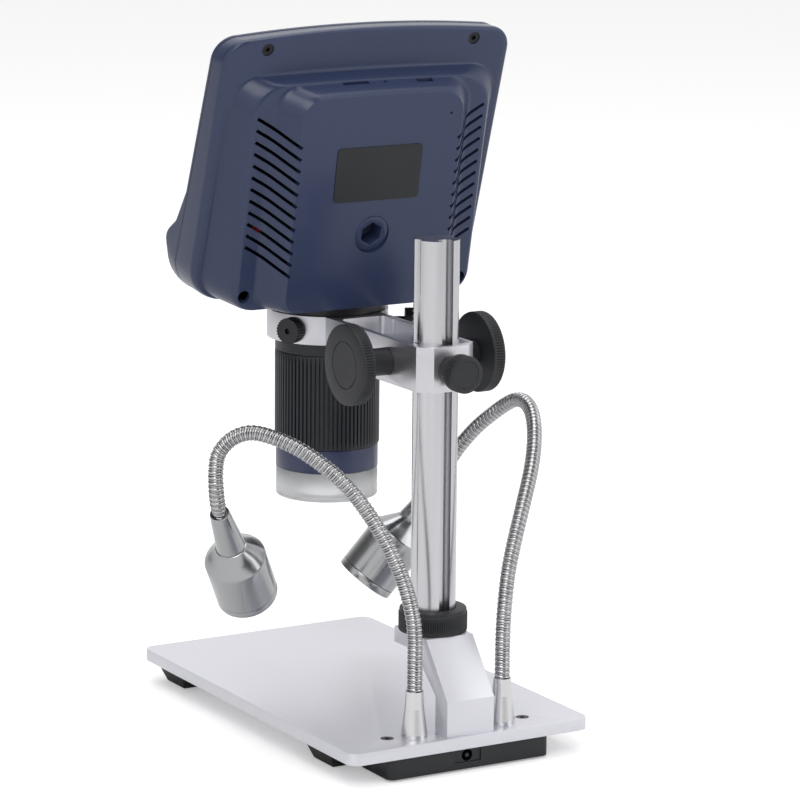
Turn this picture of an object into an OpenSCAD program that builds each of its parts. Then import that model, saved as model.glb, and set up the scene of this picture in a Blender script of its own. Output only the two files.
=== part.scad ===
// LCD digital microscope on a rack-and-pinion stand.
// Millimetres, +Z up. The origin is the centre of the base plate's top face,
// the operator sits on the -Y side and the column stands towards +Y.

/* [Base plate] */
// Left-right width of the base plate
plate_w = 122; // [116:1:136]
// Front-back length of the base plate
plate_l = 200; // [190:1:230]
// Thickness of the base plate
plate_t = 5.5; // [4.5:0.5:8]
// Corner radius of the base plate
plate_r = 5; // [2:0.5:10]
// Height of a rubber foot
foot_h = 10.5; // [10:0.5:14]
// Side of a rubber foot at the floor
foot_w = 17.2; // [12:0.2:20]

/* [Control box] */
// Left-right width of the box under the plate
box_w = 82; // [70:1:96]
// Front-back length of the box
box_l = 26.5; // [24:0.5:30]
// Height of the box below the plate
box_h = 9.7; // [9:0.1:10]
// Wall of the box
box_wall = 1.8; // [1.2:0.1:2.4]
// Power jack, distance from the middle of the box
jack_x = 1.3; // [-8:0.1:8]

/* [Column] */
// Column diameter
col_d = 20; // [18:0.5:22]
// Column axis, distance in from the back edge of the plate
col_inset = 35.3; // [34:0.1:40]
// Height of the column foot bracket
foot_top = 40; // [36:1:50]
// Height of the column's top end above the plate
col_top = 215.5; // [210:0.5:240]
// Module of the rack and pinion
gear_m = 0.75; // [0.7:0.05:0.8]
// Number of pinion teeth
pinion_teeth = 14; // [13:1:15]
// Height of the knurled ring nut
nut_h = 10.4; // [9:0.2:14]

/* [Focus arm] */
// Height of the pinion shaft above the plate at rest
arm_z = 159.5; // [150:0.5:170]
// Height of the arm's block
arm_h = 20; // [18:0.5:24]
// Distance from the column axis to the optical axis
reach = 96.7; // [92:0.1:104]
// Metal beside the column bore
arm_wall = 4.4; // [3.8:0.1:6]
// Height of the clamp ring around the barrel
ring_h = 13; // [11:0.5:15]
// Wall of the clamp ring
ring_wall = 3.75; // [3:0.25:5]
// Diameter of a focus knob
knob_d = 36; // [30:1:40]
// Thickness of a focus knob
knob_t = 6; // [5:0.5:8]
// Outer faces of the focus knobs, distance from the middle
knob_x = 36; // [34:0.5:40]

/* [Barrel] */
// Diameter of the collar held by the clamp ring
barrel_d = 48; // [46:0.5:50]
// Height of the ribbed focus ring
grip_h = 44; // [38:0.5:50]
// Height of the nose ring
nose_h = 10.8; // [8:0.2:14]
// Height of the frosted cap
cap_h = 13.2; // [10:0.2:16]

/* [Head] */
// Width of the head
head_w = 145; // [140:1:152]
// Height of the head
head_h = 129; // [126:0.5:134]
// Backward lean of the head in degrees
head_tilt = 17.5; // [15:0.5:19]
// Wall of the head's shells
shell_wall = 2.2; // [1.8:0.1:2.6]
// Screen glass width
glass_w = 122; // [112:1:126]
// Screen glass height
glass_h = 66; // [58:1:67]
// Diameter of a front button
button_d = 9; // [7:0.5:11]
// Spacing of the front buttons
button_pitch = 21; // [16:0.5:24]

/* [Lamps] */
// Diameter of the flexible necks
neck_d = 7; // [6:0.25:7.5]
// Diameter of a lamp
lamp_d = 28; // [24:0.5:32]
// Length of a lamp's wide part
lamp_l = 26.8; // [24:0.2:32]

/* [Hidden] */
seat = 0.04;        // clearance of parts fixed in one another
run = 0.06;         // radial clearance of running fits
gap = 0.3;          // clearance between moving neighbours
$fn = 64;

floor_z = -plate_t - foot_h;
// --- base
box_back = plate_l/2 - 2;
box_front = box_back - box_l;
box_floor = -plate_t - box_h;
box_screw = [box_w/2 - 6.2, box_back - 13];
post_r = 3.4;
screw_r = 1.5;
screw_head_r = 3;
foot_lean = 0.42;
foot_top_w = foot_w + 2*foot_lean*foot_h;
foot_x = plate_w/2 - 5.5 - foot_top_w/2;
front_foot_y = -plate_l/2 + 1.7 + foot_top_w/2;
rear_foot_y = box_front - 1.1 - foot_top_w/2;
jack_w = 13.6;
jack_h = 6.1;
pcb_t = 1.2;
jack_z = box_floor + box_wall + pcb_t + seat + jack_h/2;
// --- column
col_r = col_d/2;
col_y = plate_l/2 - col_inset;
bracket_w = col_d + 3.8;
bracket_back = plate_l/2 - 2.1;
leg_t = 10.4;
deck_t = 7.2;
deck_front = col_y - col_r - 3.3;
deck_back = col_y + col_r + 4.5;
leg_h = foot_top - 24;
hub_r = col_r + 2.6;
nut_lip = 3;
nut_r = hub_r + 2.7;
nut_z = foot_top + 0.1;
hub_h = nut_h - nut_lip - 0.1;
slot_r = 3.6;
slot_c = col_r - 2.8;
rack_w = 8.4;
rack_floor = col_r - 2.8;
rack_out = 2.85;
rack_z = nut_z + nut_h + 1;
pitch_l = PI*gear_m;
tip_add = 0.8*gear_m;
rack_pitch_y = col_r + rack_out - tip_add;
pinion_r = gear_m*pinion_teeth/2;
pinion_tip = pinion_r + 0.93*gear_m;
pinion_y = col_y - rack_pitch_y - pinion_r;
backlash = 0.1;
bolt_r = 2.5;
// --- arm
arm_w = col_d + 2*arm_wall;
arm_top = arm_z + arm_h/2 + 0.35;
arm_bot = arm_top - arm_h;
arm_back = col_y + col_r + 3.2;
arm_cham = 5.7;
optic_y = col_y - reach;
barrel_r = barrel_d/2;
ring_r = barrel_r + run + ring_wall;
pocket_back = pinion_y - 7.2;
pocket_front = optic_y + ring_r + 4;
cheek = 3;
shaft_r = 3;
bush_r = pinion_tip + 0.15;
bush_end = knob_x - knob_t - gap;
knob_r = knob_d/2;
lock_r = 8.3;
lock_neck = 6.5;
clamp_z = arm_top - ring_h/2;
clamp_r = 5.9;
clamp_stud = 2;
clamp_turn = [28, 152];
clamp_head = [ring_r + 0.5, ring_r + 7.6];
clamp_len = [5.2, 7.1];
clamp_tip = [barrel_r + gap, barrel_r + 1.5];
// --- barrel, downwards from the ring's top
flange_r = barrel_r + 2.5;
grip_top = arm_top - ring_h - 6;
grip_bot = grip_top - grip_h;
nose_bot = grip_bot - nose_h;
cap_bot = nose_bot - cap_h;
grip_r = barrel_r + 0.07;
grip_ribs = 75;
nose_r = barrel_r - 0.5;
cap_r = barrel_r - 0.6;
tube_r = barrel_r - 3.6;
tube_in = tube_r - 2;
bore_top = arm_top + 3.7;
tube_top = bore_top - 0.1;
carrier_r = tube_in - run;
// --- head: x across, local y back from the rim plane, local z up its face
head_y = optic_y + 3;
head_z = arm_top + 9;
hw = head_w/2;
ht = head_h;
part_n = -18;       // parting plane at the bottom edge
part_k = 0.06;      // and its change with height
crown = 3;          // rise of the rim's top edge
under_0 = -4.2;     // height of the underside at the parting plane
under_k = 0.18;     // and its slope
ledge_n = 19.3;     // shoulder face at the bottom edge
ledge_k = -0.106;
hump_n = 31.2;      // rating plate face at the bottom edge
hump_k = -0.126;
chin_u = 46;        // height of the line where the screen face meets the chin
chin_n = -19;
chin_len = 17.8;
chin_lean = 17.3;
// rounded ledge below the buttons, as steps [n, u] from the chin's lower edge
chin_ledge = [[-5.4, -6.4], [-6.8, -9], [-6.9, -11.4], [-5.5, -13.8], [-4.1, -16.6]];
bezel_low = 7;      // how far the bezel's lowest edge hangs below the head's zero height
face_lean = 3.2;
board_n = 7.6;      // rear face of the main board
board_t = 1.6;
board_w = 76;
board_u = 24;
board_h = ht - 51.5;
wing_l = 14;
wing_u = 38;
card_x = 10.8;
usb_x = -24.1;
lcd_t = 3.2;
lcd_w = glass_w - 14;
lcd_h = glass_h - 8;
win_w = glass_w - 22;
win_h = glass_h - 16;
glass_t = 1.1;
glass_u = 3.5 + glass_h/2;
bezel_t = 2.2;
button_u = -11;
button_travel = 0.8; // how far a front button sinks in
keys_n = bezel_t + 2.3 + button_travel + gap; // front of the button board
screw_hi = [hw - 19.9, ht - 8];
screw_lo = [hw - 16.6, 9.5];
insert_u = ht - 89.2;
insert_r = 8.5;
socket_r = 5.6;     // corner radius of its hexagonal socket
// --- lamps
neck_r = neck_d/2;
ball_r = neck_r + 0.5;
cup_r = ball_r + 0.1;
ferrule_shift = 0.85; // how far the sockets stand out of the middle of their room
ferrule_x = (bracket_w/2 + box_screw[0] - post_r)/2 + ferrule_shift;
ferrule_y = plate_l/2 - 12.6;
ferrule_h = 20.5;
lamp_r = lamp_d/2;
sleeve_l = 23.3;
cone_l = 9;
end_l = 3.5;
// neck routes as offsets from the socket's centre on the plate
right_path = [[0,0,20.5],[0,0,31],[0,-0.1,42],[0.7,-0.7,53],[3.4,-3.8,68],[8.3,-9.5,84],
    [14.5,-16.4,98],[21,-23.9,109.3],[28.5,-32.6,118],[36.5,-41.9,124.8],[44.5,-50.9,128.8],
    [50.5,-57.4,129.8],[55.5,-62.2,127.6],[59.5,-65,123.6],[62.5,-65.8,118.5],
    [63.8,-65.1,112],[63.7,-65,105.5],[62.3,-66.6,99],[60,-68.9,92.5]];
left_path = [[0,0,20.5],[0,0,31],[-0.4,-0.4,42],[-1.9,-1.8,53],[-5.4,-5,66],[-11,-9.5,78],
    [-19.5,-16.4,92],[-28.9,-25.4,104],[-36.4,-34.4,113],[-42.5,-43.9,121],[-46.8,-53.4,126.3],
    [-48.9,-62.4,128.8],[-49,-70.4,128.2],[-48,-77.4,124.8],[-45.5,-84.4,119.5],
    [-42,-91.4,112.8],[-38.8,-97.4,105.5],[-36.3,-102.9,98],[-34.7,-106.9,91],[-34,-109.8,83.5]];
right_joint = 9;
left_joint = 9;
right_aim = [39.4, 42.6];   // lean from vertical and turn about it
left_aim = [37.8, 155.4];

// ---------------------------------------------------------------- helpers
function rr(w, l, r, n = 8) = [for (q = [0:3], i = [0:n])
    let (a = 90*q + 90*i/n, sx = (q == 0 || q == 3) ? 1 : -1, sy = q < 2 ? 1 : -1)
    [sx*(w/2 - r) + r*cos(a), sy*(l/2 - r) + r*sin(a)]];

module slab(w, l, r, h) {
    linear_extrude(height = h)
        polygon(rr(w, l, r));
}

// a prism of a front-back profile [y, z], centred on x = 0
module side_prism(pts, w) {
    rotate([90, 0, 90])
        translate([0, 0, -w/2])
            linear_extrude(height = w)
                polygon(pts);
}

module bar_x(x, y, z, r, l) {
    translate([x, y, z])
        rotate([0, 90, 0])
            cylinder(h = l, r = r, center = true);
}

module ring(r1, r2, h) {
    difference() {
        cylinder(h = h, r = r1);
        translate([0, 0, -1])
            cylinder(h = h + 2, r = r2);
    }
}

// outline with n small ridges between radii r1 and r2
function ridges(n, r1, r2, f = 0.5) = [for (i = [0:n - 1], k = [0:3])
    let (a = 360*(i + [0, 0.12, f, f + 0.12][k])/n, r = [r1, r2, r2, r1][k])
    [r*cos(a), r*sin(a)]];

function unit(v) = v/norm(v);

// smooth curve through the points, from the first to the last; a and b are the
// points before and after, which set the end directions
function spline(p, a, b, m = 3) = let (q = concat([a], p, [b]), n = len(p))
    concat([for (i = [1:n - 1], j = [0:m - 1])
        let (t = j/m, u = q[i - 1], v = q[i], w = q[i + 1], x = q[i + 2])
        0.5*(2*v + (w - u)*t + (2*u - 5*v + 4*w - x)*t*t + (3*v - u - 3*w + x)*t*t*t)],
        [p[n - 1]]);

// round tube along a curve whose direction never comes near ref
module tube_along(c, r, ref, s = 10) {
    n = len(c);
    pts = [for (i = [0:n - 1])
        let (t = unit(c[min(i + 1, n - 1)] - c[max(i - 1, 0)]),
            u = unit(cross(t, ref)), v = cross(t, u))
        for (k = [0:s - 1])
            c[i] + r*(cos(360*k/s)*u + sin(360*k/s)*v)];
    faces = concat([[for (k = [0:s - 1]) k]],
        [for (i = [0:n - 2], k = [0:s - 1])
            [i*s + k, (i + 1)*s + k, (i + 1)*s + (k + 1)%s, i*s + (k + 1)%s]],
        [[for (k = [s - 1:-1:0]) (n - 1)*s + k]]);
    polyhedron(points = pts, faces = faces, convexity = 6);
}

// closed skin over rings of equal length
module loft(rings) {
    m = len(rings[0]);
    n = len(rings);
    faces = concat([[for (k = [m - 1:-1:0]) k]],
        [for (i = [0:n - 2], k = [0:m - 1]) each
            [[i*m + k, i*m + (k + 1)%m, (i + 1)*m + k],
            [i*m + (k + 1)%m, (i + 1)*m + (k + 1)%m, (i + 1)*m + k]]],
        [[for (k = [0:m - 1]) (n - 1)*m + k]]);
    polyhedron(points = [for (g = rings) each g], faces = faces, convexity = 8);
}

// ---------------------------------------------------------------- base
module base_plate() color("silver") difference() {
    translate([0, 0, -plate_t])
        slab(plate_w, plate_l, plate_r, plate_t);
    for (s = [-1, 1]) {
        translate([s*box_screw[0], box_screw[1], 0])
            rotate_extrude()
                polygon([[0, -plate_t - 1], [screw_r + seat, -plate_t - 1],
                    [screw_r + seat, -1.8], [screw_head_r + seat, -0.3],
                    [screw_head_r + seat, 1], [0, 1]]);
        translate([s*ferrule_x, ferrule_y, -plate_t - 1])
            cylinder(h = plate_t + 2, r = 4 + seat);
        translate([s*6, bracket_back - leg_t/2, -plate_t - 1]) {
            cylinder(h = plate_t + 2, r = 2 + seat);
            cylinder(h = 4, r = 3.5 + seat);
        }
    }
}

module rubber_foot() {
    a = foot_w/2;
    b = foot_top_w/2;
    shape = [[-a, floor_z], [a, floor_z], [b, -plate_t], [-b, -plate_t]];
    intersection() {
        side_prism(shape, 3*b);
        rotate([0, 0, 90])
            side_prism(shape, 3*b);
    }
}

module rubber_feet() color("dimgray") for (s = [-1, 1]) {
    translate([s*foot_x, front_foot_y, 0])
        rubber_foot();
    translate([s*foot_x, rear_foot_y, 0])
        rubber_foot();
}

module control_box() color("black") {
    mid = (box_back + box_front)/2;
    difference() {
        union() {
            difference() {
                translate([0, mid, box_floor])
                    slab(box_w, box_l, 3, box_h);
                translate([0, mid, box_floor + box_wall])
                    slab(box_w - 2*box_wall, box_l - 2*box_wall, 1.5, box_h);
            }
            for (s = [-1, 1])
                translate([s*box_screw[0], box_screw[1], box_floor + 0.5])
                    cylinder(h = box_h - 0.5, r = post_r);
        }
        for (s = [-1, 1])
            translate([s*box_screw[0], box_screw[1], box_floor + 2.4])
                cylinder(h = box_h, r = screw_r + seat);
        translate([jack_x, box_back, jack_z])
            cube([jack_w, 4*box_wall, jack_h], center = true);
    }
}

module control_board() color("seagreen") {
    translate([-box_w/2 + box_wall + 10, box_front + box_wall + 0.2, box_floor + box_wall])
        cube([box_w - 2*box_wall - 20, box_l - 2*box_wall - 0.4, pcb_t]);
}

module power_jack() color("dimgray") {
    back = box_back - 0.7;
    translate([jack_x, back, jack_z])
        rotate([90, 0, 0])
            difference() {
                linear_extrude(height = 11)
                    polygon(rr(jack_w - 2*seat, jack_h - 2*seat, 0.6, 3));
                difference() {
                    translate([0, 0, -1])
                        cylinder(h = 9, r = 2.7);
                    cylinder(h = 9, r = 0.95);
                }
            }
}

module box_screws() color("gray") for (s = [-1, 1])
    translate([s*box_screw[0], box_screw[1], 0])
        difference() {
            rotate_extrude()
                polygon([[0, box_floor + 2.6], [screw_r, box_floor + 2.6],
                    [screw_r, -1.8], [screw_head_r, -0.3], [screw_head_r, -0.1], [0, -0.1]]);
            translate([0, 0, -1.4])
                cylinder(h = 2, r = 1.15, $fn = 6);
        }

// ---------------------------------------------------------------- column
module column_foot() color("silver") difference() {
    union() {
        side_prism([[bracket_back, 0], [bracket_back, leg_h], [deck_back, foot_top],
            [deck_front, foot_top], [deck_front, foot_top - deck_t],
            [col_y + 4.9, foot_top - deck_t],
            [bracket_back - leg_t, leg_h + 0.5], [bracket_back - leg_t, 0]], bracket_w);
        translate([0, col_y, foot_top - 1])
            cylinder(h = hub_h + 1, r = hub_r);
    }
    translate([0, col_y, foot_top])
        cylinder(h = hub_h + 1, r = col_r + seat);
    translate([0, col_y, foot_top - deck_t - 1])
        cylinder(h = deck_t + 2, r = bolt_r + seat);
    translate([0, col_y, foot_top - deck_t - 1])
        cylinder(h = 5, r = 4.25 + seat);
    for (s = [-1, 1])
        translate([s*6, bracket_back - leg_t/2, -1])
            cylinder(h = leg_h - 3, r = 2 + seat);
}

module foot_screws() color("gray") for (s = [-1, 1])
    translate([s*6, bracket_back - leg_t/2, -plate_t + 0.2])
        difference() {
            union() {
                cylinder(h = 2.75, r = 3.5);
                cylinder(h = plate_t + leg_h - 5.5, r = 2);
            }
            translate([0, 0, -1])
                cylinder(h = 2.8, r = 1.45, $fn = 6);
        }

module column_section() difference() {
    circle(r = col_r, $fn = 96);
    translate([0, slot_c])
        circle(r = slot_r);
    for (s = [-1, 1])
        translate([s*(col_r + 1.6), 0])
            circle(r = 3.4);
    translate([-rack_w/2 - seat, -col_r - 5])
        square([rack_w + 2*seat, 5 + 2.8]);
}

module column() color("lightgray") translate([0, col_y, 0]) difference() {
    translate([0, 0, foot_top])
        linear_extrude(height = col_top - foot_top)
            column_section();
    translate([0, 0, foot_top - 1])
        cylinder(h = 16, r = bolt_r + seat);
}

module column_bolt() color("gray") translate([0, col_y, foot_top - deck_t + 0.1]) difference() {
    union() {
        cylinder(h = 3.9, r = 4.25);
        cylinder(h = deck_t + 14, r = bolt_r);
    }
    translate([0, 0, -1])
        cylinder(h = 3.4, r = 2.3, $fn = 6);
}

// straight-sided rack; a tooth space faces the pinion at its resting height
module rack() color("gainsboro") {
    y0 = col_y - rack_floor - seat;
    yp = col_y - rack_pitch_y;
    ytip = yp - tip_add;
    yroot = yp + 1.25*gear_m;
    half = (pitch_l/2 - backlash)/2;
    tan20 = tan(20);
    ht_tip = half - tip_add*tan20;
    ht_root = half + 1.25*gear_m*tan20;
    top = col_top - 11.5;
    n_up = floor((top - arm_z)/pitch_l - 0.5);
    n_dn = floor((arm_z - rack_z)/pitch_l - 1.5);
    teeth = [for (k = [-n_dn:n_up - 1]) let (z = arm_z + (k + 0.5)*pitch_l) each
        [[yroot, z - ht_root], [ytip, z - ht_tip], [ytip, z + ht_tip], [yroot, z + ht_root]]];
    last = arm_z + (n_up + 0.5)*pitch_l;
    side_prism(concat([[y0, rack_z], [yroot, rack_z]], teeth,
        [[yroot, last - ht_root], [ytip, last - ht_tip], [ytip, col_top], [y0, col_top]]), rack_w);
}

module ring_nut() color("black") translate([0, col_y, nut_z]) difference() {
    linear_extrude(height = nut_h)
        polygon(ridges(40, nut_r, nut_r - 0.5));
    translate([0, 0, -1])
        cylinder(h = nut_h - nut_lip + 1, r = hub_r + run);
    translate([0, 0, -1])
        cylinder(h = nut_h + 2, r = col_r + gap);
}

module neck_sockets() color("silver") for (s = [-1, 1])
    translate([s*ferrule_x, ferrule_y, 0])
        rotate_extrude()
            polygon([[2, -plate_t - 3.6], [4, -plate_t - 3.6], [4, 0], [neck_r + 2.35, 0],
                [neck_r + 2.35, 1.5], [neck_r + 0.9, ferrule_h*0.62], [neck_r + 0.4, ferrule_h],
                [neck_r + run, ferrule_h], [neck_r + run, 1.5], [2, 1.5]]);

module socket_nuts() color("gray") for (s = [-1, 1])
    translate([s*ferrule_x, ferrule_y, -plate_t - 3.2])
        difference() {
            rotate(30)
                cylinder(h = 3.1, r = 6.6, $fn = 6);
            translate([0, 0, -1])
                cylinder(h = 6, r = 4 + seat);
        }

// ---------------------------------------------------------------- arm
module arm() color("silver") {
    a = arm_w/2;
    front = optic_y + ring_r - 4;
    difference() {
        union() {
            intersection() {
                translate([0, 0, arm_bot])
                    linear_extrude(height = arm_h)
                        polygon([[-a, front], [a, front], [a, arm_back - arm_cham],
                            [a - arm_cham, arm_back], [-a + arm_cham, arm_back],
                            [-a, arm_back - arm_cham]]);
                side_prism([[front - 1, arm_top], [front - 1, arm_top - ring_h],
                    [pocket_front + 1, arm_top - ring_h], [pocket_front + 9, arm_bot],
                    [arm_back + 1, arm_bot], [arm_back + 1, arm_top]], 3*a);
            }
            translate([0, optic_y, arm_top - ring_h])
                cylinder(h = ring_h, r = ring_r, $fn = 96);
        }
        translate([0, optic_y, arm_bot - 1])
            cylinder(h = arm_h + 2, r = barrel_r + run, $fn = 96);
        translate([0, (pocket_back + pocket_front + 8)/2, arm_bot + cheek])
            slab(arm_w - 2*cheek, pocket_back - pocket_front - 8, 3, arm_h);
        translate([0, (pocket_front*2 + 10)/2, arm_top - ring_h + cheek])
            slab(arm_w - 2*cheek, 10, 3, arm_h);
        translate([0, col_y, arm_bot - 1])
            cylinder(h = arm_h + 2, r = col_r + run, $fn = 96);
        translate([-rack_w/2 - gap, col_y - col_r - rack_out - gap, arm_bot - 1])
            cube([rack_w + 2*gap, col_r, arm_h + 2]);
        bar_x(0, pinion_y, arm_z, bush_r + seat, arm_w + 2);
        translate([0, col_y, arm_z])
            rotate([-90, 0, 0])
                cylinder(h = 40, r = bolt_r + run);
        for (i = [0, 1])
            translate([0, optic_y, clamp_z])
                rotate([0, 90, clamp_turn[i]])
                    translate([0, 0, barrel_r - 2])
                        cylinder(h = 12, r = clamp_stud + run);
    }
}

module shaft_bushings() color("black") for (s = [-1, 1])
    difference() {
        bar_x(s*(bush_end + rack_w/2 + 0.6)/2, pinion_y, arm_z, bush_r, bush_end - rack_w/2 - 0.6);
        bar_x(s*bush_end/2, pinion_y, arm_z, shaft_r + run, bush_end + 2);
    }

module focus_shaft() color("lightgray") bar_x(0, pinion_y, arm_z, shaft_r, 2*knob_x - 6);

// involute flank of the pinion, as radius and half angle
function inv_deg(a) = (tan(a) - a*PI/180)*180/PI;
function flank(r, base, half0) = let (a = r > base ? acos(base/r) : 0)
    half0 + inv_deg(20) - inv_deg(a);

module focus_pinion() color("goldenrod") {
    base = pinion_r*cos(20);
    half0 = ((pitch_l/2 - backlash)/2)/pinion_r*180/PI;
    root = pinion_r - 1.25*gear_m;
    rs = [for (i = [0:4]) base + (pinion_tip - base)*i/4];
    one = concat([[root, flank(base, base, half0)]], [for (r = rs) [r, flank(r, base, half0)]]);
    pts = [for (k = [0:pinion_teeth - 1]) let (c = 360*k/pinion_teeth) each concat(
        [for (p = one) [p[0]*cos(c - p[1]), p[0]*sin(c - p[1])]],
        [for (i = [len(one) - 1:-1:0]) [one[i][0]*cos(c + one[i][1]), one[i][0]*sin(c + one[i][1])]])];
    // a tooth points at the rack, which lies towards +Y
    translate([0, pinion_y, arm_z])
        difference() {
            rotate([90, 0, 90])
                translate([0, 0, -rack_w/2])
                    linear_extrude(height = rack_w)
                        polygon(pts);
            bar_x(0, 0, 0, shaft_r + seat, 2*rack_w);
        }
}

module focus_knob(s) translate([s*knob_x, pinion_y, arm_z]) rotate([0, -90*s, 0]) difference() {
    union() {
        linear_extrude(height = knob_t - 0.8)
            polygon(ridges(60, knob_r, knob_r - 0.45));
        cylinder(h = knob_t, r = knob_r - 1.2);
    }
    translate([0, 0, -1])
        cylinder(h = 2.2, r = knob_r*0.58);
    translate([0, 0, 2.9])
        cylinder(h = knob_t, r = shaft_r + seat);
}

module knob_right() color("black") focus_knob(1);

module knob_left() color("black") focus_knob(-1);

module knob_caps() color("dimgray") for (s = [-1, 1])
    bar_x(s*(knob_x - 0.85), pinion_y, arm_z, knob_r*0.58 - seat, 0.6);

module lock_knob() color("black") translate([0, arm_back + 0.15, arm_z]) rotate([-90, 0, 0])
    difference() {
        union() {
            cylinder(h = 7, r = lock_neck);
            translate([0, 0, 6])
                linear_extrude(height = 7)
                    polygon(ridges(32, lock_r, lock_r - 0.4));
        }
        translate([0, 0, -1])
            cylinder(h = 8, r = bolt_r + seat);
    }

// the pad stops short of the round floor of the column's back slot
pad_y = col_y + slot_c - 2.4;

module lock_stud() color("goldenrod") translate([0, pad_y, arm_z]) rotate([-90, 0, 0])
    union() {
        cylinder(h = 3, r = bolt_r - 0.15);
        translate([0, 0, 3])
            cylinder(h = arm_back + 6 - pad_y - 3, r = bolt_r);
    }

module clamp_screw(i) translate([0, optic_y, clamp_z]) rotate([0, 90, clamp_turn[i]])
    difference() {
        union() {
            translate([0, 0, clamp_head[i]])
                linear_extrude(height = clamp_len[i])
                    polygon(ridges(26, clamp_r, clamp_r - 0.35));
            translate([0, 0, clamp_tip[i]])
                cylinder(h = clamp_head[i] + 1 - clamp_tip[i], r = clamp_stud);
        }
        translate([0, 0, clamp_head[i] + clamp_len[i] - 1.6])
            cylinder(h = 3, r = 1.5, $fn = 6);
    }

module clamp_screw_right() color("black") clamp_screw(0);

module clamp_screw_left() color("black") clamp_screw(1);

// ---------------------------------------------------------------- barrel
// everything more than d below the head's sloping underside
module under_head(d) {
    translate([0, head_y, head_z])
        rotate([-head_tilt, 0, 0])
            translate([0, part_n, under_0])
                rotate([atan(under_k), 0, 0])
                    translate([-100, -100, -200 - d])
                        cube([200, 200, 200]);
}

module barrel_collar() color("black") difference() {
    intersection() {
        translate([0, optic_y, 0])
            union() {
                translate([0, 0, grip_top + 0.1])
                    cylinder(h = arm_top + 20 - grip_top, r = barrel_r, $fn = 96);
                translate([0, 0, arm_top + 0.3])
                    cylinder(h = 30, r = flange_r, $fn = 96);
            }
        under_head(0.05);
    }
    translate([0, optic_y, grip_top - 1])
        cylinder(h = bore_top - grip_top + 1, r = tube_r + seat);
    translate([0, optic_y, grip_top])
        cylinder(h = 60, r = 4);
    // room for the bezel's low edge
    in_head()
        translate([-100, part_n - 100, 0 - bezel_low - 0.05])
            cube([200, 100.2, 100]);
}

module barrel_tube() color("dimgray") translate([0, optic_y, 0]) difference() {
    translate([0, 0, grip_bot])
        ring(tube_r, tube_in, tube_top - grip_bot);
    translate([0, 0, grip_bot - 1])
        cylinder(h = 3, r = tube_r - 1);
}

module sensor_board() color("seagreen") translate([0, optic_y, tube_top - 12])
    difference() {
        union() {
            cylinder(h = 1.6, r = tube_in - seat);
            translate([-6, -6, -2.2])
                cube([12, 12, 3]);
        }
        translate([0, 13, -1])
            cylinder(h = 4, r = 2.5);
    }

module focus_grip() color("black") translate([0, optic_y, grip_bot + 0.1]) difference() {
    linear_extrude(height = grip_h - 0.2)
        polygon(ridges(grip_ribs, grip_r, grip_r - 0.8, 0.6));
    translate([0, 0, -1])
        cylinder(h = grip_h + 2, r = tube_r + run);
}

carrier_z = grip_bot + 8;
carrier_h = 20;

module lens_carrier() color("dimgray") translate([0, optic_y, carrier_z]) difference() {
    cylinder(h = carrier_h, r = carrier_r);
    translate([0, 0, -1])
        cylinder(h = 5, r = 9);
    translate([0, 0, carrier_h - 6])
        cylinder(h = 7, r = 7);
    translate([0, 0, -1])
        cylinder(h = carrier_h + 2, r = 5.5);
}

module lens(r, t, c) {
    // flat below, crowned above
    big = (r*r + c*c)/(2*c);
    intersection() {
        cylinder(h = t + c, r = r);
        translate([0, 0, t + c - big])
            sphere(r = big, $fn = 96);
    }
}

module lenses() color("lightblue") translate([0, optic_y, carrier_z]) {
    translate([0, 0, 4])
        rotate([180, 0, 0])
            lens(9 - seat, 1.8, 0.8);
    translate([0, 0, carrier_h - 6])
        lens(7 - seat, 1.8, 0.7);
}

module nose_ring() color([0.2, 0.23, 0.33]) translate([0, optic_y, nose_bot]) difference() {
    union() {
        cylinder(h = nose_h, r = nose_r, $fn = 96);
        translate([0, 0, nose_h - 1])
            cylinder(h = 3, r = tube_r - 1 - seat);
    }
    translate([0, 0, -1])
        cylinder(h = 5, r = nose_r - 2, $fn = 96);
    translate([0, 0, -1])
        cylinder(h = nose_h + 5, r = 14);
}

module light_ring() color("seagreen") translate([0, optic_y, nose_bot + 4 - 1.5 - 0.05]) {
    difference() {
        cylinder(h = 1.5, r = nose_r - 2 - seat);
        translate([0, 0, -1])
            cylinder(h = 4, r = 12);
    }
    for (i = [0:7])
        rotate([0, 0, 45*i])
            translate([16.8, 0, -1.3])
                cylinder(h = 1.4, r = 1.6);
}

module frosted_cap() color([0.9, 0.92, 0.95]) translate([0, optic_y, cap_bot]) difference() {
    union() {
        cylinder(h = cap_h - seat, r = cap_r, $fn = 96);
        cylinder(h = cap_h + 1.5, r = nose_r - 2 - seat, $fn = 96);
    }
    translate([0, 0, 1.5])
        cylinder(h = cap_h + 2, r = cap_r - 3.4, $fn = 96);
    translate([0, 0, -1])
        cylinder(h = 5, r = 13);
}

// ---------------------------------------------------------------- head
module in_head() {
    translate([0, head_y, head_z])
        rotate([-head_tilt, 0, 0])
            children();
}

// local z up the screen face, local y into the head, origin on the fold line
module on_face() {
    in_head()
        translate([0, chin_n, chin_u])
            rotate([-face_lean, 0, 0])
                children();
}

module on_chin() {
    in_head()
        translate([0, chin_n, chin_u])
            rotate([-chin_lean, 0, 0])
                children();
}

// outline [x, u] of half width w between heights b and t, crowned by s at the top
function outline(w, b, t, s, rt, rb) = concat(
    [for (i = [0:4]) let (a = 22.5*i) [w - rt + rt*cos(a), t - s - rt + rt*sin(a)]],
    [for (i = [1:5]) let (x = (w - rt)*(1 - i/3)) [x, t - s*pow(x/(w - rt), 2)]],
    [for (i = [0:4]) let (a = 90 + 22.5*i) [-w + rt + rt*cos(a), t - s - rt + rt*sin(a)]],
    [for (i = [0:4]) let (a = 180 + 22.5*i) [-w + rb + rb*cos(a), b + rb + rb*sin(a)]],
    [for (i = [0:4]) let (a = 270 + 22.5*i) [w - rb + rb*cos(a), b + rb + rb*sin(a)]]);

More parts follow.
